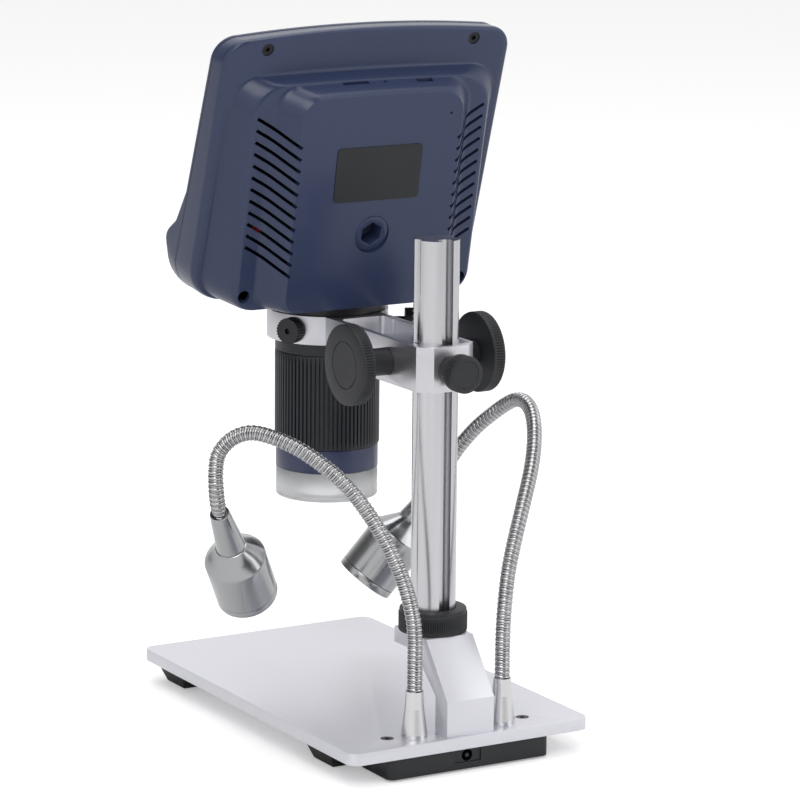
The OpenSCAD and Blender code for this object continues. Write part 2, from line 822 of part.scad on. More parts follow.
// the outline as a ring in head space on the plane n + k*u
function on_plane(o, n, k) = [for (p = o) [p[0], n + k*p[1], p[1]]];

// height of the head's sloping underside at depth n
function under(n) = under_0 + under_k*(n - part_n);

// nested rings from the parting plane over the rim, shoulder and hump
shell_rings = [
    on_plane(outline(hw + 0.5, under_0, ht - 2.7, crown, 11, 18), part_n, part_k),
    on_plane(outline(hw + 0.4, under(-2.6), ht - 0.7, crown, 11, 17), -2.6, 0),
    on_plane(outline(hw - 0.9, under(-0.6) + 0.1, ht - 0.7, crown, 10.5, 16), -0.6, 0),
    on_plane(outline(hw - 3.5, under(0) + 0.3, ht - 2.2, crown, 9.5, 14), 0, 0),
    on_plane(outline(hw - 4.9, under(0) + 0.6, ht - 19.6, 0.8, 14, 13), 0, 0),
    on_plane(outline(hw - 11, under(17) + 0.1, ht - 21, 0.8, 15, 10), ledge_n - 1.8, ledge_k),
    on_plane(outline(hw - 12.6, under(19) + 0.3, ht - 21.6, 0.8, 16, 9.5), ledge_n, ledge_k),
    on_plane(outline(hw - 23, under(19) + 0.6, ht - 22, 0.6, 12, 7.5), ledge_n, ledge_k),
    on_plane(outline(hw - 29.6, under(29) + 0.1, ht - 23.4, 0.6, 11, 7.5), hump_n - 2, hump_k),
    on_plane(outline(hw - 31.6, under(31) + 0.8, ht - 24.6, 0.6, 9.5, 7), hump_n, hump_k)];

// the hollow inside, one wall d smaller
function hollow_rings(d) = [
    on_plane(outline(hw + 0.5 - d, under_0 + d, ht - 2.7 - d, crown, 11 - d, 18 - d),
        part_n - 0.1, part_k),
    on_plane(outline(hw - 0.5 - d, under(0) + 0.3 + d, ht - 2 - d, crown, 10 - d, 15 - d), -d, 0),
    on_plane(outline(hw - 5.5 - d, under(0) + 0.6 + d, ht - 19.8 - d, 0.8, 14 - d, 13 - d), -d, 0),
    on_plane(outline(hw - 12.6 - d, under(19) + 0.6 + d, ht - 21.8 - d, 0.8, 15 - d, 10 - d),
        ledge_n - d, ledge_k),
    on_plane(outline(hw - 24 - d, under(19) + 1 + d, ht - 22.4 - d, 0.6, 12 - d, 7.5 - d),
        ledge_n - d, ledge_k),
    on_plane(outline(hw - 31.6 - d, under(31) + 0.8 + d, ht - 24.6 - d, 0.6, 9.5 - d, 7 - d),
        hump_n - d, hump_k)];

vent_pitch = 5.4;

// slanted slots that run from the shoulder over the hump's flank
module vents() {
    for (s = [0, 1], i = [0:11])
        mirror([s, 0, 0])
            translate([hw - 14.6, 4, ht - 36.4 - i*vent_pitch])
                rotate([0, -30, 0])
                    translate([-21, 0, -0.75])
                        cube([21, 40, 1.5]);
}

module rear_shell() color([0.2, 0.23, 0.33]) in_head() difference() {
    difference() {
        loft(shell_rings);
        difference() {
            loft(hollow_rings(shell_wall));
            // bosses for the two pairs of screws and the mounting insert
            for (s = [-1, 1]) {
                translate([s*screw_lo[0], -13, screw_lo[1]])
                    rotate([-90, 0, 0])
                        cylinder(h = 60, r = 4.6);
                translate([s*screw_hi[0], -8, screw_hi[1]])
                    rotate([-90, 0, 0])
                        cylinder(h = 60, r = 4.2);
            }
            translate([0, board_n + 3, insert_u])
                rotate([-90, 0, 0])
                    cylinder(h = 60, r = insert_r + 2);
            // posts of the main board
            for (s = [-1, 1], u = [6, board_h - 8])
                translate([s*(board_w/2 - 4), board_n, board_u + u])
                    rotate([-90, 0, 0])
                        cylinder(h = 60, r = 3);
        }
    }
    vents();
    // screw wells
    for (s = [-1, 1]) {
        translate([s*screw_hi[0], -40, screw_hi[1]])
            rotate([-90, 0, 0])
                cylinder(h = 60, r = 1.5 + seat);
        translate([s*screw_hi[0], -2.6, screw_hi[1]])
            rotate([-90, 0, 0])
                cylinder(h = 60, r = 2.9 + seat);
        translate([s*screw_lo[0], -40, screw_lo[1]])
            rotate([-90, 0, 0])
                cylinder(h = 80, r = 1.5 + seat);
        translate([s*screw_lo[0], 2, screw_lo[1]])
            rotate([-90, 0, 0])
                cylinder(h = 60, r = 2.9 + seat);
    }
    // mounting insert, card slot, port and pin holes
    translate([0, board_n + 6, insert_u])
        rotate([-90, 0, 0])
            cylinder(h = 60, r = insert_r + seat);
    translate([card_x, board_n + 1.5, ht - 21])
        cube([13, 1.9, 14], center = true);
    translate([usb_x, board_n + 1.8, ht - 21])
        cube([8.4, 2.9, 14], center = true);
    translate([-4, board_n + 1.8, ht - 37])
        cylinder(h = 30, r = 0.7);
    translate([-35, 10, ht - 35])
        rotate([-90, 0, 0])
            cylinder(h = 40, r = 0.6);
    // passage for the sensor's ribbon
    rotate([head_tilt, 0, 0])
        translate([0, optic_y - head_y, -30])
                cylinder(h = 60, r = 4);
}

module bezel_body(d) {
    // front-back profile [n, u]
    k = tan(face_lean);
    cn = chin_n - chin_len*sin(chin_lean);
    cu = chin_u - chin_len*cos(chin_lean);
    intersection() {
        in_head()
            side_prism(concat([[part_n + part_k*(ht - 2.7) + d/20, ht - 2.7 - d],
                [chin_n + k*(ht - 2.7 - chin_u) + d, ht - 3.9 - d], [chin_n + d, chin_u],
                [cn + d, cu]], [for (p = chin_ledge) [cn + p[0] + d, cu + p[1]]],
                [[part_n - 9.4 + d, 5], [part_n - 7.8 + d, -2 + d/2],
                [part_n - 5.5 + d, 1 - bezel_low + d], [part_n - 3 + d, 2*d - bezel_low],
                [part_n + part_k*(under_0 + 1.3*d) + d/20, under_0 + 1.3*d]]), 2*hw + 10);
        in_head()
            rotate([90, 0, 0])
                translate([0, 0, -20])
                    linear_extrude(height = 60)
                        polygon(outline(hw + 0.5 - d, d - bezel_low, ht - 2.7 - d, crown,
                            11 - d, 22 - d));
    }
}

module front_bezel() color([0.2, 0.23, 0.33]) difference() {
    bezel_body(0);
    difference() {
        bezel_body(bezel_t);
        // screw posts
        for (s = [-1, 1])
            in_head() {
                translate([s*screw_lo[0], -60, screw_lo[1]])
                    rotate([-90, 0, 0])
                        cylinder(h = 60, r = 4.6);
                translate([s*screw_hi[0], -60, screw_hi[1]])
                    rotate([-90, 0, 0])
                        cylinder(h = 60, r = 4.2);
            }
        // posts that carry the button board
        for (s = [-1, 1])
            on_chin()
                translate([s*1.5*button_pitch, 0, button_u])
                    rotate([-90, 0, 0])
                        cylinder(h = keys_n - 0.02, r = 2.4);
    }
    for (s = [-1, 1])
        in_head() {
            translate([s*screw_lo[0], -24, screw_lo[1]])
                rotate([-90, 0, 0])
                    cylinder(h = 60, r = 1.5 + seat);
            translate([s*screw_hi[0], -12.6, screw_hi[1]])
                rotate([-90, 0, 0])
                    cylinder(h = 60, r = 1.5 + seat);
        }
    // glass seat and window
    on_face()
        translate([0, glass_t + 0.05, glass_u])
            rotate([90, 0, 0]) {
                linear_extrude(height = 10)
                    polygon(rr(glass_w + 0.2, glass_h + 0.2, 4));
                translate([0, 0, -10])
                    linear_extrude(height = 12)
                        polygon(rr(win_w, win_h, 2));
            }
    // button holes
    on_chin()
        for (i = [-2:2])
            translate([i*button_pitch, -5, button_u])
                rotate([-90, 0, 0])
                    cylinder(h = 20, r = button_d/2 + run);
}

module screen_glass() color("black") on_face()
    translate([0, glass_t, glass_u])
        rotate([90, 0, 0])
            linear_extrude(height = glass_t - 0.05)
                polygon(rr(glass_w, glass_h, 3.9));

module display_panel() color("dimgray") on_face()
    translate([0, bezel_t + 0.35 + lcd_t, glass_u])
        rotate([90, 0, 0])
            linear_extrude(height = lcd_t)
                polygon(rr(lcd_w, lcd_h, 1, 2));

module main_board() color("seagreen") in_head() difference() {
    union() {
        translate([-board_w/2, board_n - board_t - 0.02, board_u])
            cube([board_w, board_t, board_h]);
        // wing that carries the indicator lamp
        translate([0, board_n - board_t - 0.02, wing_u - 5])
            cube([board_w/2 + wing_l, board_t, 10]);
    }
    for (s = [-1, 1], u = [6, board_h - 8])
        translate([s*(board_w/2 - 4), board_n - 3, board_u + u])
            rotate([-90, 0, 0])
                cylinder(h = 4, r = 1.2);
}

// card slot and USB port at the board's top edge
module board_sockets() color("lightgray") in_head() {
    translate([card_x - 7.5, board_n, board_u + board_h - 13])
        cube([15, 1.9, 14]);
    translate([usb_x - 3.9, board_n, board_u + board_h - 5])
        cube([7.8, 2.6, 5.6]);
}

module indicator_lamp() color("red") in_head()
    translate([board_w/2 + wing_l - 2.4, board_n + 0.02, wing_u])
        rotate([-90, 0, 0])
            cylinder(h = 3.4, r = 1.5);

module button_board() color("seagreen") on_chin()
    translate([-2*button_pitch - 8, keys_n, button_u - 6])
        cube([4*button_pitch + 16, 1.4, 12]);

// a button with a retaining flange behind the panel; it sinks in by its travel
module button(i) color("black") on_chin()
    translate([i*button_pitch, 0, button_u])
        rotate([-90, 0, 0]) {
            translate([0, 0, -1.3])
                cylinder(h = bezel_t + 1.3 + 0.4, r = button_d/2);
            translate([0, 0, bezel_t + 0.3])
                cylinder(h = 0.9, r = button_d/2 + 1);
            translate([0, 0, bezel_t + 1])
                cylinder(h = 1.3, r = 1.6);
        }

module front_button_1() button(-2);

module front_button_2() button(-1);

module front_button_3() button(0);

module front_button_4() button(1);

module front_button_5() button(2);

module shell_screw(x, u, n0, n1) {
    translate([x, n0, u])
        rotate([-90, 0, 0])
            difference() {
                union() {
                    cylinder(h = n1 - n0 - 2, r = 1.5);
                    translate([0, 0, n1 - n0 - 2.1])
                        cylinder(h = 2.1, r = 2.9);
                }
                translate([0, 0, n1 - n0 - 1.2])
                    cylinder(h = 3, r = 1.3, $fn = 6);
            }
}

module shell_screws() color("black") in_head() for (s = [-1, 1]) {
    shell_screw(s*screw_hi[0], screw_hi[1], -12, -0.5);
    shell_screw(s*screw_lo[0], screw_lo[1], -23.5, 4.1);
}

module rating_plate() color("black") in_head()
    translate([0, 0, ht - 23.4])
        translate([0, hump_n + hump_k*(ht - 23.4), 0])
            rotate([atan(-hump_k), 0, 0])
                translate([0, 0.35, -24.9 - 12.6])
                    rotate([90, 0, 0])
                        linear_extrude(height = 0.33)
                            polygon(rr(43.4, 25.2, 2, 4));

module mount_insert() color([0.2, 0.23, 0.33]) in_head()
    translate([0, board_n + 6 + seat, insert_u])
        rotate([-90, 0, 0])
            difference() {
                cylinder(h = hump_n + hump_k*insert_u - board_n - 6 - 0.6, r = insert_r);
                translate([0, 0, 3])
                    rotate(30)
                        cylinder(h = 60, r = socket_r, $fn = 6);
            }

// ---------------------------------------------------------------- lamps
function aim_dir(a) = [sin(a[0])*cos(a[1]), sin(a[0])*sin(a[1]), cos(a[0])];
function base_of(s) = [s*ferrule_x, ferrule_y, 0];
function curve_of(path, aim) = let (e = path[len(path) - 1])
    spline(path, [0, 0, 12], e - 7*aim_dir(aim));

module neck_lower(s, path, aim, j, ref) translate(base_of(s)) {
    c = curve_of(path, aim);
    union() {
        translate([0, 0, 1.7])
            cylinder(h = ferrule_h - 1.7 + 4, r = neck_r);
        tube_along([for (i = [0:j*3]) c[i]], neck_r - 0.05, ref);
        translate(c[j*3])
            rotate([33, 17, 0])
                sphere(r = ball_r);
    }
}

// the upper neck starts clear of the lower neck's ball
module neck_upper(s, path, aim, j, ref) translate(base_of(s)) {
    c = curve_of(path, aim);
    n = len(c);
    k = j*3;
    first = c[k] + (cup_r + 0.1)*unit(c[k + 1] - c[k - 1]);
    union() {
        tube_along(concat([first], [for (i = [k + 2:n - 1]) c[i]]), neck_r - 0.05, ref);
        translate(c[n - 1])
            rotate([33, 17, 0])
                sphere(r = ball_r);
    }
}

right_ref = [0.754, 0.656, 0];
left_ref = [1, -0.2, 0];

module right_neck_lower() color("gainsboro")
    neck_lower(1, right_path, right_aim, right_joint, right_ref);

module right_neck_upper() color("gainsboro")
    neck_upper(1, right_path, right_aim, right_joint, right_ref);

module left_neck_lower() color("gainsboro")
    neck_lower(-1, left_path, left_aim, left_joint, left_ref);

module left_neck_upper() color("gainsboro")
    neck_upper(-1, left_path, left_aim, left_joint, left_ref);

// origin at the ball joint, the lamp hangs down the local -z axis
module lamp_place(s, path, aim) {
    translate(base_of(s) + path[len(path) - 1])
        rotate([0, aim[0], aim[1]])
            children();
}

lamp_end = -sleeve_l - cone_l - lamp_l;

module lamp_housing(s, path, aim) lamp_place(s, path, aim) difference() {
    rotate_extrude()
        polygon([[0, 0], [neck_r + 0.85, 0], [neck_r + 3.2, -sleeve_l],
            [lamp_r, -sleeve_l - cone_l], [lamp_r, lamp_end + end_l], [lamp_r - 1.6, lamp_end + end_l],
            [lamp_r - 1.6, -sleeve_l - cone_l - 4], [0, -sleeve_l - cone_l - 4]]);
    sphere(r = cup_r);
}

module right_lamp() color("lightgray") lamp_housing(1, right_path, right_aim);

module left_lamp() color("lightgray") lamp_housing(-1, left_path, left_aim);

module end_ring() rotate_extrude()
    polygon([[lamp_r - 3, lamp_end], [lamp_r, lamp_end], [lamp_r, lamp_end + end_l - 0.1],
        [lamp_r - 1.65, lamp_end + end_l - 0.1], [lamp_r - 1.65, lamp_end + end_l + 3],
        [lamp_r - 3, lamp_end + end_l + 3]]);

module lamp_light() {
    // lens plate and the board behind it
    translate([0, 0, lamp_end + 1.2])
        cylinder(h = 1.5, r = lamp_r - 3 - seat);
    translate([0, 0, lamp_end + 2.7])
        cylinder(h = 5, r = 5);
    translate([0, 0, lamp_end + 7.7])
        cylinder(h = 1.6, r = lamp_r - 1.6 - seat);
}

module right_lamp_ring() color("lightgray") lamp_place(1, right_path, right_aim) end_ring();

module left_lamp_ring() color("lightgray") lamp_place(-1, left_path, left_aim) end_ring();

module right_lamp_light() color("white") lamp_place(1, right_path, right_aim) lamp_light();

module left_lamp_light() color("white") lamp_place(-1, left_path, left_aim) lamp_light();

base_plate();
rubber_feet();
control_box();
control_board();
power_jack();
box_screws();
column_foot();
foot_screws();
column();
column_bolt();
rack();
ring_nut();
neck_sockets();
socket_nuts();
arm();
shaft_bushings();
focus_shaft();
focus_pinion();
knob_right();
knob_left();
knob_caps();
lock_knob();
lock_stud();
clamp_screw_right();
clamp_screw_left();
barrel_collar();
barrel_tube();
sensor_board();
focus_grip();
lens_carrier();
lenses();
nose_ring();
light_ring();
frosted_cap();
rear_shell();
front_bezel();
screen_glass();
display_panel();
main_board();
board_sockets();
indicator_lamp();
button_board();
front_button_1();
front_button_2();
front_button_3();
front_button_4();
front_button_5();
shell_screws();
rating_plate();
mount_insert();
right_neck_lower();
right_neck_upper();
left_neck_lower();
left_neck_upper();
right_lamp();
left_lamp();
right_lamp_ring();
left_lamp_ring();
right_lamp_light();
left_lamp_light();
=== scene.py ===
"""Looks of an LCD digital microscope on a rack-and-pinion stand.

Metres, +Z up, origin in the middle of the base plate's top face, the operator on the -Y side.
Shapes are worked out in millimetres and scaled as they become meshes.
"""

import math

import bmesh
import bpy
import numpy as np
from mathutils import Matrix, Vector


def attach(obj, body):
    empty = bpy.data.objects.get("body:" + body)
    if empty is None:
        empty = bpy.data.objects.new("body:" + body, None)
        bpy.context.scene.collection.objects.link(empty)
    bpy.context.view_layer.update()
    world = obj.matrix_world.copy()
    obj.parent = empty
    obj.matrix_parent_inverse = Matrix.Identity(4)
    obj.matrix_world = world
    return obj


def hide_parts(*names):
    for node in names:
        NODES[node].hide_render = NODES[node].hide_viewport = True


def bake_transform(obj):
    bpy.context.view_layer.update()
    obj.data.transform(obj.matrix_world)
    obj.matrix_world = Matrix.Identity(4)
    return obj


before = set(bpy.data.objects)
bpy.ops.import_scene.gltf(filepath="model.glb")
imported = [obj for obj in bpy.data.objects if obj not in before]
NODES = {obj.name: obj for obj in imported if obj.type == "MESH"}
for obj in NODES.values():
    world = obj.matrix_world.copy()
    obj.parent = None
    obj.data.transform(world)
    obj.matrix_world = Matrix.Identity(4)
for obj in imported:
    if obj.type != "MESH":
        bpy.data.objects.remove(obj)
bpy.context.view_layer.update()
MM = 0.001

# ------------------------------------------------------------------ sizes, mm
FLOOR_Z = -16.0
# stand: the y of the column's, the focus shaft's and the optics' axes, the arm's middle and top, the turned pieces
COL_Y, PINION_Y, OPTIC_Y = 64.7, 47.2, -32.0
ARM_Z, ARM_TOP = 159.5, 169.85
KNOB_R, KNOB_T, KNOB_X, KNOB_RIBS, KNOB_GROOVE = 18.0, 6.0, 30.0, 90, 10.4
NUT_R, NUT_BOT, NUT_TOP, NUT_LIP, NUT_BORE, NUT_LIP_BORE, NUT_RIBS = 15.3, 40.1, 50.5, 47.5, 12.76, 10.3, 96
LOCK_R, LOCK_H, LOCK_NECK_R, LOCK_NECK_H, LOCK_Y, LOCK_RIBS = 8.3, 13.0, 6.5, 6.0, 78.05, 48
GRIP_R, GRIP_BORE, GRIP_BOT, GRIP_TOP, GRIP_RIBS = 24.07, 20.46, 106.95, 150.75, 75
NOSE_R, NOSE_BOT, NOSE_H, NOSE_SPIGOT, LIGHT_BORE, LIGHT_SEAT = 23.5, 96.05, 10.8, 19.36, 14.0, 21.5
CAP_R, CAP_BOT, CAP_H, CAP_SPIGOT, CAP_INNER, CAP_OPENING = 23.4, 82.85, 13.16, 21.46, 20.0, 13.0
# head: x across, n backwards from the rim plane, u up its face; HW is half its width, HT its height. A plane across
# it has the depth _N at u = 0 and the slope _K
HEAD_Y, HEAD_Z, HEAD_TILT = OPTIC_Y + 3.0, ARM_TOP + 9.0, 17.5
HW, HT = 72.5, 129.0
PART_N, PART_K, UNDER_0, UNDER_K = -18.0, 0.06, -4.2, 0.18
CROWN, GROOVE, BEZEL_LOW = 3.0, 0.45, 7.0
LEDGE_N, LEDGE_K, HUMP_N, HUMP_K = 19.3, -0.106, 31.2, -0.126
CHIN_U, CHIN_N, CHIN_LEN, CHIN_LEAN, FACE_LEAN = 46.0, -19.0, 17.8, 17.3, 3.2
CHIN_LEDGE = [(-5.4, -6.4), (-6.8, -9.0), (-6.9, -11.4), (-5.5, -13.8), (-4.1, -16.6)]
SHELL_WALL = 2.2
GLASS_W, GLASS_H, GLASS_U, WINDOW_W, WINDOW_H = 122.0, 66.0, 36.5, 100.0, 50.0
BUTTON_D, BUTTON_PITCH, BUTTON_U = 9.0, 21.0, -11.0
SCREW_HI, SCREW_LO = (HW - 19.9, HT - 8.0), (HW - 16.6, 9.5)
INSERT_U, INSERT_R, BOARD_N = HT - 89.2, 8.5, 7.6
BEZEL_WALL, BEZEL_EDGE, BEZEL_MIDDLE, GLASS_SEAT = 2.2, 3.0, 60.0, 1.15
VENTS, VENT_PITCH, VENT_LEAN, VENT_W, VENT_LEN = 12, 5.4, 30.0, 1.5, 21.0
VENT_X, VENT_U = HW - 14.6, HT - 36.4
SCREW_WELL_R, CARD_X, PORT_X, RESET_X, PIN_X = 2.95, 10.8, -24.1, -4.0, -35.0
# necks, each a path from its socket, and lamps, each with the lean and turn of its axis and heights below its ball
NECK_R, COIL_PITCH, COIL_COLS, WIRE_SHARE, WIRE_DEPTH, WEDGE_FOOT, WEDGE_RISE = 3.5, 2.25, 20, 0.60, 0.75, 0.35, 0.45
END_DRAW, END_LENGTH = 0.55, 4.0  # how far, and over what length, the neck's lamp end is drawn in
BLEND_REACH = 15.0  # half the length of neck on each side of the middle joint
SOCKET = (22.5, 87.4)
RIGHT_PATH = [(0, 0, 20.5), (0, 0, 31), (0, -0.1, 42), (0.7, -0.7, 53), (3.4, -3.8, 68), (8.3, -9.5, 84),
              (14.5, -16.4, 98), (21, -23.9, 109.3), (28.5, -32.6, 118), (36.5, -41.9, 124.8),
              (44.5, -50.9, 128.8), (50.5, -57.4, 129.8), (55.5, -62.2, 127.6), (59.5, -65, 123.6),
              (62.5, -65.8, 118.5), (63.8, -65.1, 112), (63.7, -65, 105.5), (62.3, -66.6, 99),
              (60, -68.9, 92.5)]
LEFT_PATH = [(0, 0, 20.5), (0, 0, 31), (-0.4, -0.4, 42), (-1.9, -1.8, 53), (-5.4, -5, 66), (-11, -9.5, 78),
             (-19.5, -16.4, 92), (-28.9, -25.4, 104), (-36.4, -34.4, 113), (-42.5, -43.9, 121),
             (-46.8, -53.4, 126.3), (-48.9, -62.4, 128.8), (-49, -70.4, 128.2), (-48, -77.4, 124.8),
             (-45.5, -84.4, 119.5), (-42, -91.4, 112.8), (-38.8, -97.4, 105.5), (-36.3, -102.9, 98),
             (-34.7, -106.9, 91), (-34, -109.8, 83.5)]
NECK_JOINT = 9
RIGHT_AIM, LEFT_AIM = (39.4, 42.6), (37.8, 155.4)
BALL_CUP_R, LAMP_R, LAMP_BORE, LAMP_EYE = 4.1, 14.0, 12.4, 11.0
LAMP_TOP, LAMP_CEILING, LAMP_RIM, LAMP_END = -32.3, -36.3, -55.6, -59.1


# ------------------------------------------------------------------ camera
def place_camera():
    """The camera: its place, its three axes as columns, and a long lens."""
    right = (-0.86317, 0.50484, 0.00907)
    up = (-0.09506, -0.18012, 0.97904)
    back = (0.49588, 0.84421, 0.20346)
    data = bpy.data.cameras.new("camera")
    data.lens = 176.62
    data.sensor_width = 36.0
    data.clip_end = 20.0
    cam = bpy.data.objects.new("camera", data)
    bpy.context.scene.collection.objects.link(cam)
    m = Matrix([[right[i], up[i], back[i], 0.0] for i in range(3)] + [[0, 0, 0, 1]])
    m.translation = Vector((0.8660, 1.5085, 0.4935))
    cam.matrix_world = m
    bpy.context.scene.camera = cam


place_camera()


# ------------------------------------------------------------------ mesh helpers
def make_mesh(name, points, faces, smooth=None):
    """A mesh from points in mm and faces; smooth is the greatest angle, in degrees, still shaded smooth."""
    me = bpy.data.meshes.new(name)
    me.from_pydata((np.asarray(points, float) * MM).tolist(), [], faces)
    me.validate()
    ob = bpy.data.objects.new(name, me)
    bpy.context.scene.collection.objects.link(ob)
    if smooth is not None:
        shade(ob, smooth)
    return ob


def shade(ob, angle):
    """Smooth shading, with edges sharper than the angle kept sharp."""
    me = ob.data
    me.polygons.foreach_set("use_smooth", [True] * len(me.polygons))
    me.set_sharp_from_angle(angle=math.radians(angle))


def grid_faces(rows, cols, wrap_rows=False, base=0):
    """Quads between neighbouring rows and columns of a grid of points, closed across the columns."""
    rr, cc = np.meshgrid(np.arange(rows if wrap_rows else rows - 1), np.arange(cols), indexing="ij")
    r1, c1 = (rr + 1) % rows, (cc + 1) % cols
    q = np.stack([rr * cols + cc, rr * cols + c1, r1 * cols + c1, r1 * cols + cc], -1)
    return (q.reshape(-1, 4) + base).tolist()


def finish(ob, body, material, stands_for):
    """Gives a piece its material, the body it moves with, and the solids it stands for; a piece given several bodies is
    only baked in place.
    """
    ob.data.materials.clear()
    ob.data.materials.append(material)
    if isinstance(body, tuple):
        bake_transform(ob)
    else:
        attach(ob, body)
    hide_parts(*stands_for)


def rounded(points, radius, steps):
    """A closed outline with each corner replaced by an arc-like quadratic curve that starts the radius away."""
    p = np.asarray(points, float)
    out = []
    n = len(p)
    for i in range(n):
        a, c, b = p[i - 1], p[i], p[(i + 1) % n]
        la, lb = np.linalg.norm(a - c), np.linalg.norm(b - c)
        r = min(radius, 0.45 * la, 0.45 * lb)
        s, e = c + (a - c) * r / la, c + (b - c) * r / lb
        for t in np.linspace(0, 1, steps):
            out.append((1 - t) ** 2 * s + 2 * t * (1 - t) * c + t * t * e)
    return np.array(out)


def turned(name, profile, cols, bump=None, smooth=40.0):
    """A turned solid about z: the closed profile (radius, height) goes round in cols steps. The profile runs upwards
    on its outside. bump(radius, height, angle) gives a change of radius. The UV map "around" has the way round, there
    and back, as u and the way along the profile, in cm, as v."""
    prof = np.asarray(profile, float)
    ang = np.linspace(0, 2 * math.pi, cols, endpoint=False)
    r = prof[:, 0][:, None] * np.ones(cols)[None, :]
    z = prof[:, 1][:, None] * np.ones(cols)[None, :]
    if bump is not None:
        r = r + bump(r, z, ang[None, :] * np.ones_like(r))
    pts = np.stack([r * np.cos(ang), r * np.sin(ang), z], -1)
    rows = len(prof)
    solid = prof[0, 0] < 1e-6 and prof[-1, 0] < 1e-6
    if solid:
        inner = pts[1:-1]
        flat = inner.reshape(-1, 3)
        k = len(flat)
        faces = grid_faces(rows - 2, cols)
        faces += [[k, (j + 1) % cols, j] for j in range(cols)]
        last = (rows - 3) * cols
        faces += [[k + 1, last + j, last + (j + 1) % cols] for j in range(cols)]
        flat = np.vstack([flat, pts[0, 0], pts[-1, 0]])
    else:
        flat = pts.reshape(-1, 3)
        faces = grid_faces(rows, cols, wrap_rows=True)
    ob = make_mesh(name, flat, faces, smooth)
    length = np.concatenate([[0], np.cumsum(np.linalg.norm(np.diff(prof, axis=0), axis=1))]) / 10
    uv = np.stack([np.tile(np.abs(ang / math.pi - 1), rows), np.repeat(length, cols)], 1)
    if solid:
        uv = np.vstack([uv[cols:-cols], [0.5, 0], [0.5, length[-1]]])
    index = np.zeros(len(ob.data.loops), int)
    ob.data.loops.foreach_get("vertex_index", index)
    ob.data.uv_layers.new(name="around").data.foreach_set("uv", uv[index].ravel())
    return ob


def put(ob, turn=Matrix.Identity(4), at=(0, 0, 0)):
    """Turns a piece and moves it to a place in mm, in its mesh."""
    ob.data.transform(Matrix.Translation(Vector(at) * MM) @ turn)
    return ob


def turn_z(a):
    """A turn about z by a degrees."""
    return Matrix.Rotation(math.radians(a), 4, "Z")


def turn_y(a):
    """A turn about y by a degrees."""
    return Matrix.Rotation(math.radians(a), 4, "Y")


def turn_x(a):
    """A turn about x by a degrees."""
    return Matrix.Rotation(math.radians(a), 4, "X")


def cut(ob, cutters):
    """Takes the cutters out of a piece and deletes them."""
    for c in cutters:
        mod = ob.modifiers.new("cut", "BOOLEAN")
        mod.operation = "DIFFERENCE"
        mod.solver = "EXACT"
        mod.object = c
    dep = bpy.context.evaluated_depsgraph_get()
    me = bpy.data.meshes.new_from_object(ob.evaluated_get(dep))
    ob.modifiers.clear()
    old = ob.data
    ob.data = me
    me.name = old.name
    bpy.data.meshes.remove(old)
    for c in cutters:
        m = c.data
        bpy.data.objects.remove(c)
        bpy.data.meshes.remove(m)
    return ob


def drill(name, r, h, cols):
    """A plain cylinder standing on its origin, as a cutter."""
    return turned(name, [(0, 0), (r, 0), (r, h), (0, h)], cols)


def box_piece(name, lo, hi):
    """A plain block between two corners, as a cutter or a blank."""
    lo, hi = np.array(lo, float), np.array(hi, float)
    c = np.array([[(lo, hi)[i][0], (lo, hi)[j][1], (lo, hi)[k][2]] for i in (0, 1) for j in (0, 1) for k in (0, 1)])
    f = [[0, 1, 3, 2], [4, 6, 7, 5], [0, 4, 5, 1], [2, 3, 7, 6], [0, 2, 6, 4], [1, 5, 7, 3]]
    return make_mesh(name, c, f)


def softened(node, width):
    """A merged copy of a CAD solid with its sharp edges rounded by width mm."""
    src = NODES[node]
    me = src.data.copy()
    ob = bpy.data.objects.new("soft_" + node, me)
    bpy.context.scene.collection.objects.link(ob)
    bm = bmesh.new()
    bm.from_mesh(me)
    bmesh.ops.remove_doubles(bm, verts=bm.verts, dist=2e-6)
    bmesh.ops.dissolve_limit(bm, angle_limit=math.radians(1.0), verts=bm.verts, edges=bm.edges)
    bm.to_mesh(me)
    bm.free()
    mod = ob.modifiers.new("edge", "BEVEL")
    mod.width = width * MM
    mod.segments = 3
    mod.limit_method = "ANGLE"
    mod.angle_limit = math.radians(30)
    mod.harden_normals = False
    mod.use_clamp_overlap = True
    dep = bpy.context.evaluated_depsgraph_get()
    out = bpy.data.meshes.new_from_object(ob.evaluated_get(dep))
    ob.modifiers.clear()
    ob.data = out
    bpy.data.meshes.remove(me)
    shade(ob, 35)
    return ob


# ------------------------------------------------------------------ shader groups
def new_group(name, inputs, outputs):
    """An empty shader group with named sockets."""
    g = bpy.data.node_groups.new(name, "ShaderNodeTree")
    for n, kind, value in inputs:
        s = g.interface.new_socket(n, in_out="INPUT", socket_type=kind)
        if value is not None:
            s.default_value = value
    for n, kind in outputs:
        g.interface.new_socket(n, in_out="OUTPUT", socket_type=kind)
    return g, g.nodes.new("NodeGroupInput"), g.nodes.new("NodeGroupOutput")


def build_grain():
    """Fine surface grain: two noises, one tight and one broad, give a height and a slow mask."""
    g, i, o = new_group("surface_grain",
                        [("Vector", "NodeSocketVector", None), ("Scale", "NodeSocketFloat", 900.0),
                         ("Broad Scale", "NodeSocketFloat", 18.0)],
                        [("Height", "NodeSocketFloat"), ("Mask", "NodeSocketFloat")])
    fine = g.nodes.new("ShaderNodeTexNoise")
    fine.inputs["Detail"].default_value = 3.0
    broad = g.nodes.new("ShaderNodeTexNoise")
    broad.inputs["Detail"].default_value = 4.0
    for n, s in ((fine, "Scale"), (broad, "Broad Scale")):
        g.links.new(i.outputs["Vector"], n.inputs["Vector"])
        g.links.new(i.outputs[s], n.inputs["Scale"])
    g.links.new(fine.outputs["Fac"], o.inputs["Height"])
    g.links.new(broad.outputs["Fac"], o.inputs["Mask"])
    return g


